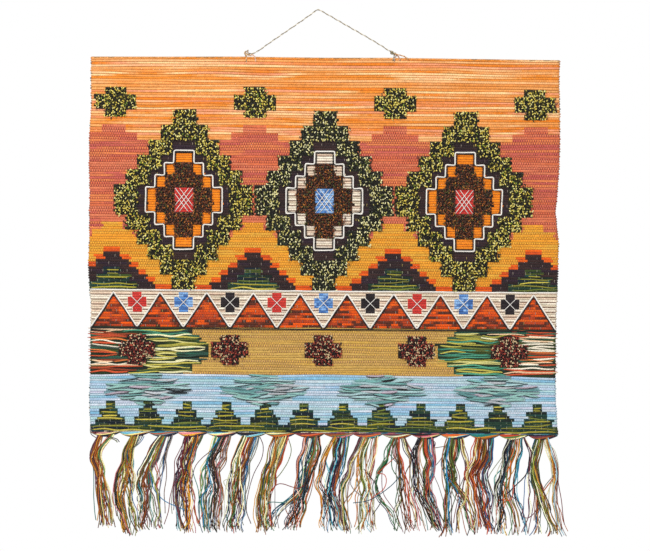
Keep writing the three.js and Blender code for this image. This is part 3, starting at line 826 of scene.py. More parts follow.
def weftRidges(random, valleys, across, first, last, foot, plump, close, sign):
    # Each row of weft is a low closed ridge between two valley lines: as wide as they are apart, and its height
    # a share of that. Its lower side shows the under colours: partly the yarn under it, partly painted shade.
    rows = last - first
    above, below = valleys[first:last], valleys[first + 1:last + 1]
    middle = (across[1:] + across[:-1]) / 2
    ragged = random.normal(0, ridges["ragged"], (rows, 1))
    kind = yarnAt(middle[None] + ragged, (np.arange(first, last) + 0.5)[:, None] * pitch)
    loose = sum(share * (kind == yarnNames.index(name)) for name, share in ridges["loose"].items())
    loose = np.concatenate([loose[:, :1], (loose[:, 1:] + loose[:, :-1]) / 2, loose[:, -1:]], axis=1)
    rowPlump = random.uniform(*ridges["uneven"], (rows, 1)) + 0.2 * drift(random, rows, across, 60)
    flat = (close + (plump - close) * loose) * (1 + (rowPlump - 1) * loose)
    # a flatter ridge keeps its crest where a full one has it, so its valleys are shallower
    out = foot + sign * 0.95 * (plump - np.minimum(flat, plump)) * pitch / 2
    out = out + 0.12 * drift(random, rows, across, 25)
    upper, under, specks = stitchShades(random, kind, middle)
    if sign < 0:
        # seen from behind the colours are duller, because the ends of the other yarns cross them
        upper, under = (0.6 * part + 0.36 * part.mean(axis=-1, keepdims=True) for part in (upper, under))
    # the upper slope and crest take the top colours; the lower slope and back take the under colours, partly painted
    # shade
    shades = np.stack([upper, upper, under, under], axis=2)
    # in front, full ridges press over the edges of their neighbours, which hides the foot of each
    over = ridges["looseOverlap"] * loose if sign > 0 else 0
    wide = (below - above) / 2 * (ridges["overlap"] + over)
    part = tubes(onCloth(across[None], (above + below) / 2, out), wide, shades,
                 ridges["profile"], outward=(0, -sign, 0), flat=flat, specks=specks)
    # rows keep apart in the yarn map by one row's span each, and all start at the left selvedge
    row = part["tube"].repeat(4) + first
    part["yarn"][:, 0] -= 23.7 * (row - first)
    part["yarn"][:, 1] = part["yarn"][:, 1] / part["size"][1] * rowSpan * 0.98 + row * rowSpan
    return part


def alongRows(stitch):
    return np.linspace(-1, 1, int(cloth["width"] / stitch) + 1) * cloth["width"] / 2


frontAcross, backAcross = alongRows(ridges["stitch"]), alongRows(ridges["backStitch"])
frontValleys = valleyLines(np.random.default_rng(10), frontAcross)
backValleys = valleyLines(np.random.default_rng(10), backAcross)
half = cloth["rows"] // 2
for name, seed, first, last in (("weft_upper", 11, 0, half), ("weft_lower", 12, half, cloth["rows"])):
    part = weftRidges(np.random.default_rng(seed), frontValleys, frontAcross, first, last, ridges["foot"],
                      ridges["plump"], ridges["close"], 1)
    makePiece(name, [part], wovenWeft)
backPart = weftRidges(np.random.default_rng(13), backValleys, backAcross, 0, cloth["rows"], ridges["backFoot"],
                      ridges["backPlump"], ridges["backPlump"], -1)
makePiece("weft_reverse", [backPart], reverseWeft)


# ---- selvedges: the turns of the weft, and the corded top and bottom edges

edges = {
    "turnThick": 2.9,
    "turnReach": 3.4,
    "rings": 7,
    "cordThick": 3.2,
    "cordRings": 220,
    "ticks": {"#4A5A54": 2, "#4A3424": 2, "#7E6448": 2},
    "topCord": {"#D99A5A": 4, "#E8B07A": 3, "#A88050": 3, "#C98A4A": 2},
    "bottomCord": {"#2C4A5E": 4, "#3E7E96": 3, "#7E8E9C": 3, "#C0707A": 1, "#D8CDB4": 2, "#B09A3A": 1,
                   "#1E2A34": 3, "#5A2430": 1},
}


def selvedgeTurns(random, side):
    # a turn goes out from one row and comes back into the next: half a sine wave past the edge
    rows = cloth["rows"]
    share = np.linspace(0, 1, edges["rings"])[None]
    down = (np.arange(rows)[:, None] + 0.06 + 0.88 * share) * pitch
    reach = edges["turnReach"] * random.uniform(0.6, 1.15, (rows, 1))
    across = side * (cloth["width"] / 2 - 2.2 + reach * np.sin(np.pi * share))
    out = 2.5 + random.uniform(-0.3, 0.3, (rows, 1)) - 0.5 * np.sin(np.pi * share)
    kind = yarnAt(np.full((rows, 1), side * 490.0), (np.arange(rows)[:, None] + 0.5) * pitch)
    shades = stitchShades(random, kind, np.array([0.0]))[0][:, 0] * 0.82
    ticked = random.uniform(0, 1, rows) < (0.34 if side < 0 else 0.2)
    shades[ticked] = pickShades(random, edges["ticks"], rows)[ticked]
    return tubes(onCloth(across, down, out), edges["turnThick"] / 2, shades)


def edgeCord(random, down, out, palette, runLength, drop=0.0):
    # two cords side by side along an edge, whose yarns change colour every few centimetres
    across = np.linspace(-1, 1, edges["cordRings"]) * (cloth["width"] / 2 - 0.5)
    turn = 2 * np.pi * across / 31
    paths = [onCloth(across, down + drop + 0.25 * np.cos(turn + phase), out + 0.7 * np.sin(turn + phase))
             for phase in (0, np.pi)]
    count = len(across) - 1
    runs = int(cloth["width"] / runLength) + 2
    shades = np.stack([
        pickShades(random, palette, runs)[(np.arange(count) / count * (runs - 1) + shift).astype(int)]
        for shift in (0, 0.5)
    ])
    return tubes(paths, edges["cordThick"] / 4 + 0.35, shades)


edgeRandom = np.random.default_rng(21)
makePiece("selvedge_turns", [selvedgeTurns(edgeRandom, side) for side in (-1, 1)], wovenWeft)
makePiece("edge_cords", [
    edgeCord(edgeRandom, 1.0, 3.3, edges["topCord"], 70),
    edgeCord(edgeRandom, cloth["height"] - 0.7, 4.4, edges["bottomCord"], 55),
], laidYarn)
print("the cloth is woven")


# ---- loop pile

pile = {
    "spacing": 2.25,
    "crown": 8.5,          # above the cloth's back
    "root": 3.0,
    "span": 4.3,
    "thick": 2.6,
    "darkAbove": 0.07,     # a loop darker than this is set lower: partly a dark binding loop, partly painted shade of the gaps between loops
    "darkLoopRise": 0.72,
    "ragged": (2.4, 1.2),  # how far the pile's edge strays, across and down
    # the near-black colours are partly dark yarn and partly painted shade of the gaps between the loops
    "palettes": {
        "moss": {"#1A160A": 45, "#4C4016": 10, "#948C30": 9, "#E8CE50": 14, "#FFEE7C": 17, "#86A02E": 3,
                 "#FFF6A4": 8},
        "night": {"#15150E": 50, "#34402A": 11, "#FFF8BC": 18, "#DCD07A": 13, "#6E7434": 8},
        "rust": {"#46280F": 30, "#703616": 25, "#944E1E": 14, "#5C5A22": 11, "#C47A2C": 8, "#24160A": 12},
        "berry": {"#7E2622": 30, "#1E1210": 32, "#EBCFA0": 22, "#C0503A": 16},
    },
}


def loopPile(random, at, step, steps, hole, palette):
    # Loops stand in rows over a stepped lozenge. Each is an arch: its feet a span apart in the cloth, its crown
    # a power of a sine high, leaning down a little under its own weight.
    reachAcross, reachDown = steps * step[0], steps * step[1]
    rowNumbers = np.arange(math.floor((at[1] - reachDown) / pitch), math.ceil((at[1] + reachDown) / pitch) + 1)
    down, across = np.meshgrid((rowNumbers + 0.5) * pitch,
                               at[0] + np.arange(-reachAcross, reachAcross + 1, pile["spacing"]), indexing="ij")
    across = across + pile["spacing"] / 2 * (rowNumbers % 2)[:, None]
    strayAcross, strayDown = (random.normal(0, reach, across.shape) for reach in pile["ragged"])
    inside = inLozenge(across + strayAcross, down + strayDown, at, step, steps)
    if hole:
        inside &= ~inLozenge(across + strayAcross / 2, down + strayDown / 2, at, step, hole)
    across, down = across[inside], down[inside]
    count = len(across)
    across = across + random.normal(0, 0.8, count)
    down = down + random.normal(0, 1.15, count)
    share = np.array([0, 0.5, 1])[None]
    angle = random.normal(np.pi / 2, 0.7, (count, 1))
    span = pile["span"] * random.uniform(0.75, 1.2, (count, 1))
    crown = np.sin(np.pi * share) ** 0.75
    lean = random.uniform(-0.4, 1.5, (count, 1)) * crown
    sideways = random.normal(0, 0.7, (count, 1)) * crown
    u = across[:, None] + np.cos(angle) * span * (share - 0.5) + sideways
    v = down[:, None] + np.sin(angle) * span * (share - 0.5) + lean
    shades = pickShades(random, pile["palettes"][palette], count, 0.12)
    rise = (pile["crown"] - pile["root"]) * random.uniform(0.74, 1.08, (count, 1))
    rise *= np.where(shades.mean(axis=1, keepdims=True) < pile["darkAbove"], pile["darkLoopRise"], 1)
    paths = onCloth(u, v, pile["root"] + rise * crown)
    outward = np.stack([np.sin(angle[:, 0]), np.zeros(count), np.cos(angle[:, 0])], axis=1)[:, None]
    return tubes(paths, pile["thick"] / 2 * random.uniform(0.85, 1.15, (count, 1)), shades, outward=outward)


pileRandom = np.random.default_rng(31)
for name, place in zip(("left", "middle", "right"), medallions):
    at = (place, motifs["medallionDown"])
    ring, heart = motifs["ring"], motifs["heart"]
    makePiece("pile_medallion_" + name, [
        loopPile(pileRandom, at, ring["step"], ring["steps"], ring["hole"], "night" if place == 0 else "moss"),
        loopPile(pileRandom, at, heart["step"], heart["steps"], heart["hole"], "rust"),
    ], loopedWool)
makePiece("pile_stars_and_buds", [
    loopPile(pileRandom, at, motifs["star"]["step"], 2, 0, "moss") for at in motifs["star"]["at"]
] + [
    loopPile(pileRandom, at, motifs["bud"]["step"], 2, 0, "berry") for at in motifs["bud"]["at"]
], loopedWool)
print("the pile is looped")


# ---- floats: thick yarns laid over the cloth, and the small stitches that tie them and the satin down

floats = {
    "pitch": {"bank": 4.3, "teeth": 7.6, "ripple": 5.6},
    "thick": {"bank": 3.9, "teeth": 3.4, "ripple": 5.6},
    "stray": {"bank": 7, "teeth": 3, "ripple": 16},   # how far a float may run past its area
    "taper": {"bank": 0.35, "teeth": 0.45, "ripple": 0.2},
    "out": 5.0,
    "ringEvery": 6.5,
    "waveAcross": 62,
    "palettes": {
        "bank": {"#ACA444": 18, "#ECE6B4": 19, "#4C9A7C": 13, "#C2B650": 18, "#2A4A3E": 12, "#DAD284": 15,
                 "#626A2C": 10},
        "clay": {"#C9502A": 20, "#F0C9A0": 20, "#F5EAD2": 18, "#8A3B1E": 16, "#D9783A": 14, "#3A4A3E": 12},
        "teeth": {"#1E3A2B": 9, "#86822A": 23, "#AAA032": 28, "#6E7A2E": 14, "#14212E": 8, "#C8B84A": 12},
        # in the ripples the near-black floats, thinned below, stand for the dark lines under the leaves: painted shadow
        "ripple": {"#8FBAB2": 20, "#74A8A4": 14, "#A6C6C8": 18, "#B4B8BC": 20, "#B4A6B2": 12, "#5E8E8E": 8,
                   "#1A1A1E": 6},
        "shadow": {"#16161A": 3, "#2A3438": 2, "#3E5258": 1},
    },
    "shadowShare": 0.8,    # of the ripples, how many have a thin dark tube along their lower edge as painted shadow
    "clayFrom": 395,       # the outer ends of the banks are in clay colours
    "wave": {"bank": 2.9, "teeth": 2.3, "ripple": 2.2},
    "cover": {"bank": 0.96, "teeth": 0.94, "ripple": 1.0},
    "piece": {"bank": (45, 120), "teeth": (120, 320), "ripple": (30, 56)},
    "slope": {"bank": 4.5, "teeth": 1.5, "ripple": 8},
    "tieEvery": 25,
    "tie": {"#A8A888": 3, "#8F9C8A": 3, "#7E8C70": 2},
    "satinTie": {"#A89A8C": 3, "#7E6A66": 3, "#B9A45A": 1},
}


def laidFloats(random, area):
    # Each float runs along a row inside its area: it waves up and down as a random run does, lies a yarn's
    # thickness above the cloth, and dips back into it at both ends.
    fine = np.arange(-500, 500.1, 2.5)
    found = {}
    for down in np.arange(pitch, cloth["height"] - 2, floats["pitch"][area]):
        inside = yarnAt(fine, np.full(fine.shape, down)) == yarnNames.index(area)
        change = np.flatnonzero(np.diff(np.concatenate([[0], inside.astype(int), [0]])))
        for start, end in zip(change[::2], change[1::2]):
            if end - start < 6 or random.uniform() > floats["cover"][area]:
                continue
            left, right = fine[start], fine[end - 1]
            pieces = max(1, round((right - left) / random.uniform(*floats["piece"][area])))
            cuts = np.linspace(left, right, pieces + 1)
            cuts[1:-1] += random.uniform(-10, 10, pieces - 1)
            for a, b in zip(cuts, cuts[1:]):
                a, b = a - random.uniform(0, floats["stray"][area]), b + random.uniform(0, floats["stray"][area])
                rings = max(5, int((b - a) / floats["ringEvery"]))
                share = np.linspace(0, 1, rings)
                across = a + (b - a) * share
                wave = floats["wave"][area] * drift(random, 1, across, floats["waveAcross"] * 0.5)[0]
                slope = floats["slope"][area] * random.uniform(-1, 1) * (share - 0.5)
                dip = np.sin(np.pi * share) ** 0.35
                line = onCloth(across, down + wave + slope, 2.6 + (floats["out"] - 2.6) * dip)
                found.setdefault(rings, []).append(line)
    parts = []
    for lines in found.values():
        lines, count = np.array(lines), len(lines)
        least = floats["taper"][area]
        taper = least + (1 - least) * np.sin(np.pi * np.linspace(0, 1, lines.shape[1])) ** 0.5
        thick = floats["thick"][area] / 2 * random.uniform(0.75, 1.2, (count, 1)) * taper
        shades = pickShades(random, floats["palettes"][area], count, 0.12)
        thick = thick * np.where(shades.mean(axis=1, keepdims=True) < 0.02, 0.5, 1)   # the black ones are thin
        if area == "bank":
            outer = np.abs(lines[:, :, 0].mean(axis=1)) > floats["clayFrom"]
            shades[outer] = pickShades(random, floats["palettes"]["clay"], count, 0.12)[outer]
        parts.append(tubes(lines, thick, shades, circle(6), flat=0.75))
        if area == "ripple":
            # painted shadow: a thin dark tube half a leaf's width down and a little out, so that it follows the leaf's
            # lower edge
            lower = lines + np.stack([0 * thick, 0 * thick - 0.9, -0.92 * thick], axis=2)
            chosen = random.uniform(0, 1, count) < floats["shadowShare"]
            if chosen.any():
                dark = pickShades(random, floats["palettes"]["shadow"], count, 0.1)
                parts.append(tubes(lower[chosen], (0.3 + 0.55 * taper), dark[chosen]))
    return parts


def tieStitches(random, area, every, palette, out, skip=1):
    # short upright stitches in staggered rows, each an arch over one row
    rows = np.arange(1, cloth["rows"] - 1, skip)
    down, across = np.meshgrid((rows + 0.5) * pitch, np.arange(-495, 496, every), indexing="ij")
    across = across + (rows // skip % 2)[:, None] * every / 2 + random.normal(0, 0.8, across.shape)
    inside = yarnAt(across, down) == yarnNames.index(area)
    across, down = across[inside], down[inside]
    share = np.linspace(0, 1, 4)[None]
    v = down[:, None] + (share - 0.5) * pitch * 1.0
    paths = onCloth(across[:, None] + 0 * share, v, out - 1.4 + 1.4 * np.sin(np.pi * share))
    return tubes(paths, 0.62, pickShades(random, palette, len(across), 0.1))


floatRandom = np.random.default_rng(41)
for area in ("bank", "teeth", "ripple"):
    makePiece("floats_" + area, laidFloats(floatRandom, area), laidYarn)
makePiece("tie_stitches", [
    tieStitches(floatRandom, "teeth", floats["tieEvery"], floats["tie"], 5.4),
    tieStitches(floatRandom, "satin", floats["tieEvery"], floats["satinTie"], 4.9, 3),
    tieStitches(floatRandom, "roof", floats["tieEvery"], floats["satinTie"], 4.9, 2),
], couchedCotton)
print("the floats are laid")


# ---- couched cords: outlines, panes and the thin brown lines across the cream areas

cords = {
    "thick": 3.3,
    "out": 5.3,
    "spacing": 3.2,
    "white": "#F6F1E8",
    "black": "#1B1517",
    "brown": "#7E4A34",
    "lineThick": 1.3,
    "paneThick": 1.7,
    "lineEvery": 2,
}


def layCord(random, across, down, thick, colour, out, spacing, sides=6):
    # a cord through the given corners, rounded a little at each
    corners = np.stack([np.asarray(across, float), np.asarray(down, float)], axis=1)
    run = np.concatenate([[0], np.cumsum(np.linalg.norm(np.diff(corners, axis=0), axis=1))])
    count = max(5, int(run[-1] / spacing))
    places = np.linspace(0, run[-1], count)
    u, v = np.interp(places, run, corners[:, 0]), np.interp(places, run, corners[:, 1])
    if count > 12:
        for line in (u, v):
            line[1:-1] = (line[:-2] + 2 * line[1:-1] + line[2:]) / 4
        u = u + 0.35 * drift(random, 1, places, 22)[0]
        v = v + 0.35 * drift(random, 1, places, 22)[0]
    lift = np.full(count, float(out))
    lift[[0, -1]] -= thick * 0.6
    shade = toLinear(colour) * (1 + 0.08 * drift(random, 1, places, 18)[0][1:, None])
    return tubes([onCloth(u, v, lift)], thick / 2, shade[None], circle(sides))


def lozengeOutline(at, step, steps, grow):
    # once round a stepped lozenge, a little outside or inside its edge
    across, down = [], []
    for right, low in ((1, 1), (-1, 1), (-1, -1), (1, -1)):
        quarter = []
        for i in range(steps):
            quarter += [((steps - i) * step[0] + grow, i * step[1]), ((steps - i) * step[0] + grow, (i + 1) * step[1] + grow)]
        if right * low < 0:
            quarter.reverse()
        across += [at[0] + right * a for a, _ in quarter]
        down += [at[1] + low * b for _, b in quarter]
    return across + across[:1], down + down[:1]


cordRandom = np.random.default_rng(51)
outlines, thin = [], []
top, bottom = motifs["band"]
corners = np.arange(-500, 501, motifs["bandPitch"] / 2)
zigzag = np.where(np.arange(len(corners)) % 2 == 0, bottom - 2.0, top + 3.0)
outlines.append(layCord(cordRandom, corners, zigzag, cords["thick"], cords["white"], cords["out"], cords["spacing"]))
outlines.append(layCord(cordRandom, corners, zigzag + 5.2, cords["thick"] * 0.8, cords["black"],
                        cords["out"] - 0.3, cords["spacing"]))
for down, colour in ((top - 1.0, "white"), (bottom + 0.8, "black")):
    outlines.append(layCord(cordRandom, [-499, 499], [down, down], cords["thick"], cords[colour], cords["out"],
                            cords["spacing"]))
for place in medallions:
    at = (place, motifs["medallionDown"])
    for grow, colour, thick in ((1.6, "white", 1.0), (-1.8, "black", 0.75)):
        across, down = lozengeOutline(at, motifs["halo"]["step"], motifs["halo"]["steps"], grow)
        outlines.append(layCord(cordRandom, across, down, cords["thick"] * thick, cords[colour], cords["out"],
                                cords["spacing"]))
makePiece("couched_outlines", outlines, couchedCotton)


def crossedThreads(random, at, halfWide, halfHigh, bars):
    # a lattice of slanting white threads over a lozenge or a block: bars one way, and as many the other
    threads = []
    for lean in (-1, 1):
        for share in np.linspace(-1, 1, bars + 2)[1:-1]:
            # each thread runs from edge to edge of the block, through its own point on the level middle line
            slope = lean * halfHigh / halfWide
            ends = np.sort([np.clip(share * halfWide + s * halfWide, -halfWide, halfWide) for s in (-1, 1)])
            down = (ends - share * halfWide) * slope
            threads.append(layCord(random, at[0] + ends, at[1] + down, cords["paneThick"], cords["white"],
                                   cords["out"] + 0.2 * lean, 6, 4))
    return threads


for place in motifs["jewels"]:
    thin += crossedThreads(cordRandom, (place, motifs["jewelDown"]), 15, 15, 1)
for place in medallions:
    thin += crossedThreads(cordRandom, (place, motifs["medallionDown"]), 19, 25, 3)
fine = np.arange(-500, 500.1, 2.5)
for row in range(0, cloth["rows"], cords["lineEvery"]):
    down = (row + 1) * pitch
    inside = yarnAt(fine, np.full(fine.shape, down)) == yarnNames.index("cream")
    change = np.flatnonzero(np.diff(np.concatenate([[0], inside.astype(int), [0]])))
    for start, end in zip(change[::2], change[1::2]):
        if end - start > 3:
            thin.append(layCord(cordRandom, [fine[start] + 1, fine[end - 1] - 1], [down, down],
                                cords["lineThick"], cords["brown"], 4.7, 9, 4))
makePiece("couched_threads", thin, couchedCotton)
print("the cords are couched")


# ---- tassels: each gathers its share of the warp ends into a roll and lets them hang in a few locks

tassels = {
    "head": (-456, -398, -331, -273, -204, -143, -79, -12, 49, 110, 171, 233, 293, 354, 415, 475),
    "long": (196, 212, 205, 208, 206, 204, 206, 200, 204, 206, 204, 206, 210, 206, 208, 210),
    "first": -486,
    "pitch": 62.4,
    "rollThick": 11,
    "rollEndThick": 3,
    "rollFromWall": 4,
    "depth": 13,
    "fromWall": 8,
    "tuck": 3,
    "gap": 0.3,
    "rings": 27,
    "strandThick": 2.7,
    "swell": 0.42,         # of its width, that a lock gains under its head
    "turn": 2.2,           # radians that a lock winds by from head to tip
    "strays": 4,
    "passing": 0.2,        # the share of strands that pass from one lock to another
    "anyLot": 0.36,        # and the share that come from none of their lock's own lots
    "often": ["rust", "ochre", "sand", "night", "sand", "rust"],   # the lots met more often among those
    "rollStrands": 20,
    "rollRings": 17,
    # the dyers' lots that the warp is drawn from
    "lots": {
        "rust": ("#9A4E1A", "#B65D1C", "#653B1C", "#A16324"),
        "ochre": ("#C47215", "#E5A523", "#B0854A", "#D0871D"),
        "night": ("#151119", "#17284A", "#282024"),
        "sea": ("#177268", "#276396", "#164E61", "#379691"),
        "sky": ("#52AFC3", "#2786B6", "#A1D1E0"),
        "sand": ("#F7E393", "#FFFFD5", "#DCCA77", "#FDF1B0"),
        "olive": ("#626F28", "#8C892F", "#A2A940", "#475824"),
        "wine": ("#731D22", "#713646", "#55222D"),
        "ash": ("#929582", "#787869", "#CACAAF", "#8B817F"),
        "flame": ("#C64424", "#B93F1C", "#DE722D"),
        "leaf": ("#268249", "#3C714A", "#5C9658"),
        "pink": ("#E08E8E", "#CF737E", "#F6BBAA"),
    },
    # each lock: its strands, its width, its lots, and where its middle is at every fifth of the way down
    "locks": (
        ((18, 10, "wine rust night", -465, -478, -470, -467, -464, -462),
         (14, 9, "rust sand ochre ash", -437, -465, -462, -451, -444, -439),
         (6, 6, "sand pink", -444, -466, -463, -457, -456, -454)),
        ((18, 14, "sea night olive", -394, -411, -421, -427, -422, -411),
         (15, 12, "rust ochre", -391, -405, -411, -417, -414, -406),
         (9, 10, "sand olive", -386, -399, -396, -400, -395, -390)),
        ((24, 15, "rust olive rust rust", -331, -357, -374, -375, -375, -371),
         (11, 10, "ash wine leaf sea", -325, -344, -360, -364, -360, -358),
         (5, 9, "ash", -314, -328, -337, -347, -344, -335)),
        ((15, 14, "wine night wine", -276, -287, -298, -301, -299, -294),
         (17, 14, "ochre ochre sand", -262, -273, -286, -287, -281, -285),
         (7, 10, "sea ash sand", -250, -268, -276, -273, -272, -266)),
        ((17, 14, "night sea sky", -201, -220, -225, -223, -229, -232),
         (12, 11, "flame pink rust", -189, -202, -210, -207, -213, -220),
         (10, 12, "ash leaf sand", -215, -231, -240, -241, -243, -238)),
        ((14, 14, "olive leaf sand", -155, -169, -181, -186, -187, -190),
         (15, 14, "flame rust wine", -141, -155, -167, -172, -178, -178),
         (10, 12, "night ash sky", -130, -144, -156, -164, -163, -170)),
        ((20, 17, "ochre olive ochre", -86, -99, -115, -123, -122, -121),
         (13, 12, "night ash sand", -74, -89, -105, -114, -115, -112),
         (9, 11, "rust sand", -66, -79, -93, -104, -108, -99)),
        ((14, 15, "sky sea night", -15, -23, -30, -35, -52, -64),
         (18, 16, "rust wine leaf night", -4, -6, -14, -27, -39, -46),
         (9, 12, "rust ash pink", -6, -12, -18, -38, -84, -100),
         (4, 7, "rust wine", -27, -39, -46, -53, -50, -51)),
        ((12, 12, "wine ochre sky", 37, 15, 5, 6, 11, 20),
         (20, 16, "rust wine olive night", 47, 39, 30, 26, 34, 46),
         (11, 14, "ash sky leaf", 62, 53, 41, 33, 46, 60)),
        ((13, 13, "night sand ash", 96, 76, 63, 56, 55, 60),
         (12, 12, "olive ochre", 106, 95, 91, 93, 91, 84),
         (11, 13, "rust wine sand", 124, 116, 107, 108, 110, 116),
         (5, 10, "ash sky", 112, 102, 99, 103, 99, 101)),
        ((10, 12, "flame ochre rust", 170, 168, 181, 179, 187, 203),
         (9, 14, "rust night ash", 181, 197, 203, 203, 213, 222),
         (8, 10, "leaf ash", 163, 149, 131, 128, 151, 170),
         (4, 8, "ash sand", 168, 172, 176, 172, 166, 168)),
        ((13, 13, "rust ochre night", 222, 211, 211, 219, 234, 251),
         (14, 12, "flame olive night ochre", 230, 231, 236, 234, 243, 259),
         (11, 11, "sea sky", 240, 244, 240, 238, 253, 271)),
        ((7, 10, "sky ash rust", 280, 269, 269, 273, 272, 277),
         (14, 12, "olive rust", 287, 280, 286, 280, 274, 275),
         (13, 13, "night sand leaf", 296, 294, 288, 311, 324, 331),
         (6, 9, "wine sand", 305, 313, 315, 309, 303, 300)),
        ((15, 14, "flame rust", 344, 338, 321, 330, 338, 345),
         (14, 13, "rust night sand", 360, 355, 339, 342, 352, 363),
         (10, 10, "sea flame", 371, 367, 354, 365, 361, 370)),
        ((10, 11, "sea night", 411, 400, 388, 391, 390, 393),
         (14, 14, "wine ochre sand leaf", 420, 416, 402, 403, 418, 415),
         (7, 8, "ochre sky", 434, 431, 426, 425, 436, 436),
         (4, 6, "wine", 440, 453, 445, 454, 456, 440)),
        ((18, 13, "ochre rust olive", 474, 467, 469, 480, 491, 501),
         (12, 12, "sand ash rust", 488, 496, 505, 510, 513, 519),
         (7, 12, "sea night ash", 468, 458, 458, 471, 470, 461)),
    ),
    # long loose ends, each by its lot, then the distance across and the distance down of each bend
    "loose": (
        ("sky", 2, (-334, 34), (-355, 58), (-357, 82), (-354, 103), (-346, 121), (-327, 139), (-304, 150), (-284, 158)),
        ("ash", 2, (-318, 22), (-331, 44), (-338, 70), (-336, 98), (-340, 128), (-338, 160), (-341, 190)),
        ("wine", 3, (-284, 8), (-300, 40), (-306, 54), (-306, 80), (-309, 103), (-316, 132), (-319, 160), (-328, 188)),
        ("flame", 3, (-266, 137), (-261, 162), (-257, 186), (-251, 176), (-246, 163)),
        ("wine", 4, (-211, 12), (-228, 30), (-247, 46), (-261, 63), (-268, 86), (-271, 110), (-266, 136)),
        ("ash", 5, (-176, 74), (-188, 88), (-201, 95), (-196, 108), (-187, 124)),
        ("wine", 5, (-124, 2), (-117, 20), (-120, 46), (-137, 80), (-148, 117), (-153, 156), (-143, 186)),
        ("olive", 6, (-64, 2), (-57, 28), (-64, 53), (-79, 77), (-92, 92)),
        ("wine", 7, (-98, 114), (-87, 101), (-74, 100), (-56, 106), (-41, 109), (-30, 103)),
        ("sea", 6, (-107, 162), (-108, 142), (-97, 139), (-80, 140), (-67, 139)),
        ("night", 9, (86, 55), (107, 78), (121, 97), (132, 122), (134, 138), (116, 166)),
        ("sea", 10, (153, 36), (177, 68), (166, 92), (137, 117), (107, 134), (75, 139)),
        ("flame", 10, (168, 40), (135, 68), (127, 76), (141, 78), (146, 92), (139, 111), (116, 129), (109, 160)),
        ("ash", 11, (250, 22), (274, 20), (262, 46), (246, 70), (258, 104), (268, 136)),
        ("ash", 14, (397, 36), (368, 74), (363, 96), (380, 128), (388, 150)),
        ("flame", 14, (380, 186), (382, 150), (384, 134), (396, 130), (409, 132), (416, 120), (418, 98)),
        ("wine", 15, (474, 128), (464, 154), (450, 168), (439, 166), (436, 150)),
        ("ash", 15, (487, 8), (503, 22), (511, 44), (514, 62)),
        # short cut ends beside the first, second and twelfth heads, and one turn of warp round the left corner
        ("night", 0, (-450, 1), (-440, 4), (-429, 8), (-424, 14)),
        ("olive", 0, (-448, 4), (-438, 7), (-430, 11), (-428, 15)),
        ("ash", 0, (-452, 2), (-442, 6), (-434, 9), (-430, 12)),
        ("night", 1, (-380, 1), (-382, 8), (-388, 18), (-395, 29)),
        ("sea", 1, (-376, 1), (-378, 8), (-385, 17), (-392, 26)),
        ("sea", 1, (-372, 2), (-375, 9), (-382, 17), (-390, 24)),
        ("ash", 1, (-374, 0), (-379, 9), (-386, 19), (-394, 28)),
        ("wine", 11, (238, 2), (244, 5), (250, 10), (249, 18)),
        ("night", 11, (236, 3), (242, 7), (248, 12), (247, 19)),
        ("ash", 0, (-483, -27), (-485.5, -15), (-483.5, -3), (-473, 5)),
    ),
    # the lots of each roll, from its upper edge to its lower one
    "rolls": ("pink wine sand night", "sky sand sand rust", "sea flame ash night", "pink ochre ochre wine",
              "sky sand pink rust", "night night sky sand", "sand leaf rust flame", "wine flame flame rust",
              "wine rust leaf pink", "wine rust flame sea", "wine ash sand rust", "night wine pink sand",
              "flame ochre sand sea", "sea sea ochre rust", "flame leaf olive sand", "night wine rust flame"),
}


def runsOfShades(random, lots, count, longest, anyLot=0.0):
    # neighbouring strands come off the same bobbin, so colours come in short runs
    names, every = lots.split(), list(tassels["lots"]) + tassels["often"]
    shades = []
    while len(shades) < count:
        chosen = every if random.uniform() < anyLot else names
        lot = tassels["lots"][chosen[random.integers(len(chosen))]]
        shades += [toLinear(lot[random.integers(len(lot))])] * int(random.integers(1, longest + 1))
    return np.array(shades[:count]) * (1.06 + random.uniform(-0.15, 0.15, (count, 1)))


def throughFifths(values, share):
    # the Catmull-Rom curve through values that stand at equal steps of the share
    values = np.array([2 * values[0] - values[1], *values, 2 * values[-1] - values[-2]], float)
    steps = len(values) - 3
    at = np.clip(share, 0, 1) * steps
    step = np.minimum(at.astype(int), steps - 1)
    t = at - step
    a, b, c, d = (values[step + i] for i in range(4))
    return 0.5 * (2 * b + (c - a) * t + (2 * a - 5 * b + 4 * c - d) * t ** 2 + (3 * b - a - 3 * c + d) * t ** 3)


def skirtTop(row):
    return edgeHeight(tassels["head"][row], cloth["height"]) - tassels["gap"] - tassels["rollThick"] + tassels["tuck"]


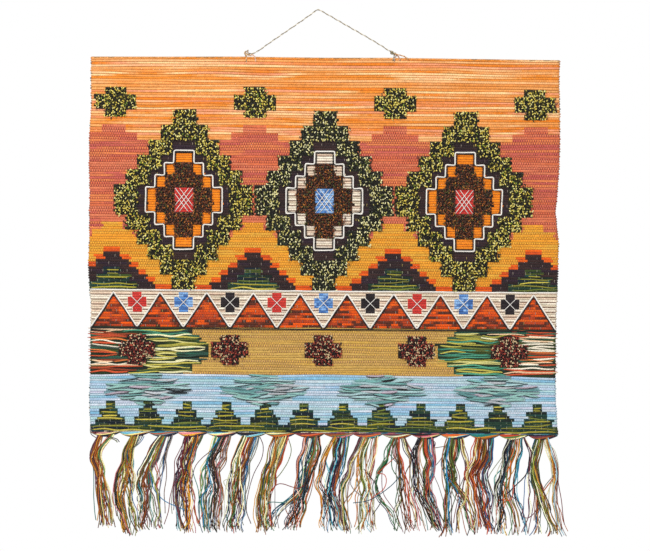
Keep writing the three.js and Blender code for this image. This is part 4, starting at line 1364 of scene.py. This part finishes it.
def tasselLock(random, row, number, lock):
    # A lock's strands stand in a long oval round its middle line. The oval swells under the head and turns
    # slowly from there to the tip, each strand drifts a little by itself, and the ends fray apart over the last
    # sixth.
    count, wide, lots, *middle = lock
    rings = tassels["rings"]
    share = np.linspace(0, 1, rings)[None]
    long = tassels["long"][row] * random.uniform(0.97, 1.01)
    length = long * random.uniform(0.94, 1.02, (count, 1))
    short = random.uniform(0, 1, count) < 0.14
    length[short] *= random.uniform(0.7, 0.93, (short.sum(), 1))
    down = share * length / tassels["long"][row]
    centre = throughFifths(middle, down)
    ring = np.sqrt((np.arange(count)[:, None] * 0.382 + 0.25) % 1) * 0.9 + 0.1
    start = 2 * np.pi * np.arange(count)[:, None] / count + random.normal(0, 0.5, (count, 1))
    angle = start + tassels["turn"] * random.choice([-1, 1]) * random.uniform(0.4, 1) * down
    under = np.clip(down * 9, 0, 1)
    halfWide = wide / 2 * (1 + tassels["swell"] * under)
    places = share[0] * 200
    wave = 5.4 * drift(random, 1, places, 27) * np.clip(down * 4, 0, 1)
    own = drift(random, count, places, 34) * (0.8 + 2.1 * under) + 0.4 * drift(random, count, places, 15)
    # some strands pass over to a neighbouring lock, along the first half of a cosine wave
    others = [other for other in tassels["locks"][row] if other is not lock]
    passing = random.uniform(0, 1, (count, 1)) < tassels["passing"]
    leave = random.uniform(0.05, 0.5, (count, 1))
    passed = passing * (1 - np.cos(np.pi * np.clip((down - leave) / 0.4, 0, 1))) / 2
    centre = centre + passed * (throughFifths(others[random.integers(len(others))][3:], down) - centre)
    fray = np.clip(down - 0.84, 0, None) ** 1.3 * random.normal(0, 70, (count, 1))
    x = centre + wave + ring * np.cos(angle) * halfWide + own + fray
    deep = (number % 3 - 1) * 2.2
    y = -tassels["fromWall"] + deep * np.sin(np.pi * np.clip(down, 0, 1)) - ring * np.sin(angle) * 3.4 \
        + 0.6 * drift(random, count, places, 50)
    z = skirtTop(row) + 2.5 - share * length
    radius = tassels["strandThick"] / 2 * random.uniform(0.85, 1.12, (count, 1)) * (1.1 - 0.26 * share)
    return tubes(np.stack([x, np.clip(y, -14, -1.6), z], axis=-1), radius, runsOfShades(random, lots, count, 1, tassels["anyLot"]))


def tasselStrays(random, row):
    # single ends that leave a lock part of the way down, bow out to one side and come part of the way back
    count, rings = tassels["strays"], tassels["rings"]
    share = np.linspace(0, 1, rings)[None]
    locks = tassels["locks"][row]
    paths, shades = [], []
    for _ in range(count):
        lock = locks[random.integers(len(locks))]
        down = share[0] * random.uniform(0.8, 1.0)
        leave = random.uniform(0.05, 0.4)
        away = np.clip((down - leave) / (1 - leave), 0, 1)
        bow = random.uniform(8, 20) * random.choice([-1, 1]) * np.sin(np.pi * away * random.uniform(0.6, 1.0))
        x = throughFifths(lock[3:], down) + bow + 1.2 * drift(random, 1, share[0] * 200, 30)[0]
        y = -tassels["fromWall"] + random.uniform(-4, 4) * away
        paths.append(np.stack([x, np.full(rings, 0.0) + y, skirtTop(row) + 2 - down * tassels["long"][row]], axis=-1))
        shades.append(runsOfShades(random, "ash rust wine sea", 1, 1)[0])
    return tubes(np.array(paths), 1.1, np.array(shades))


def looseEnds(random, row):
    # the long loose ends that wander from this tassel, each a smooth line through its bends
    parts = []
    for lot, owner, *bends in tassels["loose"]:
        if owner == row:
            places = np.array([(x, 0, skirtTop(row) - down) for x, down in bends])
            depth = -tassels["fromWall"] - 3.5 + 3 * drift(random, 1, np.arange(len(bends)) * 1.0, 2.5)[0]
            places[:, 1] = np.clip(depth, -13, -4)
            places[0, 1] = -4.2   # it comes out from behind the strands
            parts.append(tubes([smoothLine(places, 34)], 1.15, runsOfShades(random, lot, 1, 1)))
    return parts


def tasselRoll(random, row):
    # Strands drawn along the cloth's edge: they lie round a spindle whose radius falls with the square of the
    # distance from the head, and turn a little more than a quarter of the way round it from end to end.
    count, rings = tassels["rollStrands"], tassels["rollRings"]
    start = tassels["first"] + row * tassels["pitch"]
    end = start + tassels["pitch"] - tassels["gap"]
    head = tassels["head"][row]
    x = np.linspace(start, end, rings)
    away = np.where(x < head, (head - x) / (head - start), (x - head) / (end - head))
    radius = (tassels["rollThick"] + (tassels["rollEndThick"] - tassels["rollThick"]) * away ** 2) / 2
    strand = 1.35
    lean = np.pi * 0.55 * np.linspace(-0.5, 0.5, rings)
    angle = 2 * np.pi * np.arange(count)[:, None] / count + lean + random.normal(0, 0.08, (count, 1))
    ring = np.maximum(radius - strand * 0.55, 0.25)
    y = -tassels["rollFromWall"] - radius / 2 - ring * np.cos(angle) * 0.95
    z = edgeHeight(x, cloth["height"]) - tassels["gap"] - radius + ring * np.sin(angle)
    paths = np.stack([np.broadcast_to(x, y.shape), y, z], axis=-1)
    thick = strand * random.uniform(0.85, 1.15, (count, 1)) * np.clip(radius / 4.5, 0.45, 1)
    # a strand's lot follows from how high on the spindle it stands; the night lot added under the roll's own lots is
    # painted shade along its lower edge
    lots = tassels["rolls"][row].split() + ["night"]
    height = np.sin(2 * np.pi * np.arange(count) / count) + random.normal(0, 0.15, count)
    band = np.clip((1 - height) / 2 * len(lots), 0, len(lots) - 1).astype(int)
    shades = np.array([runsOfShades(random, lots[i], 1, 1)[0] for i in band])
    return tubes(paths, thick, 1.12 * shades)


tasselPieces = []
for row in range(len(tassels["head"])):
    tasselRandom = np.random.default_rng(100 + row)
    name = f"tassel_{row + 1:02d}"
    parts = [tasselLock(tasselRandom, row, number, lock) for number, lock in enumerate(tassels["locks"][row])]
    parts += [tasselStrays(tasselRandom, row), tasselRoll(tasselRandom, row)] + looseEnds(tasselRandom, row)
    piece = makePiece("gathered_" + name, parts, tasselPly)
    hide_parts(name)
    tasselPieces.append(piece)

print("the tassels hang")

total = sum(len(o.data.loop_triangles) or 2 * len(o.data.polygons) for o in bpy.data.objects
            if o.type == "MESH" and not o.hide_render and o.name != "floor")
print("triangles in all:", total)
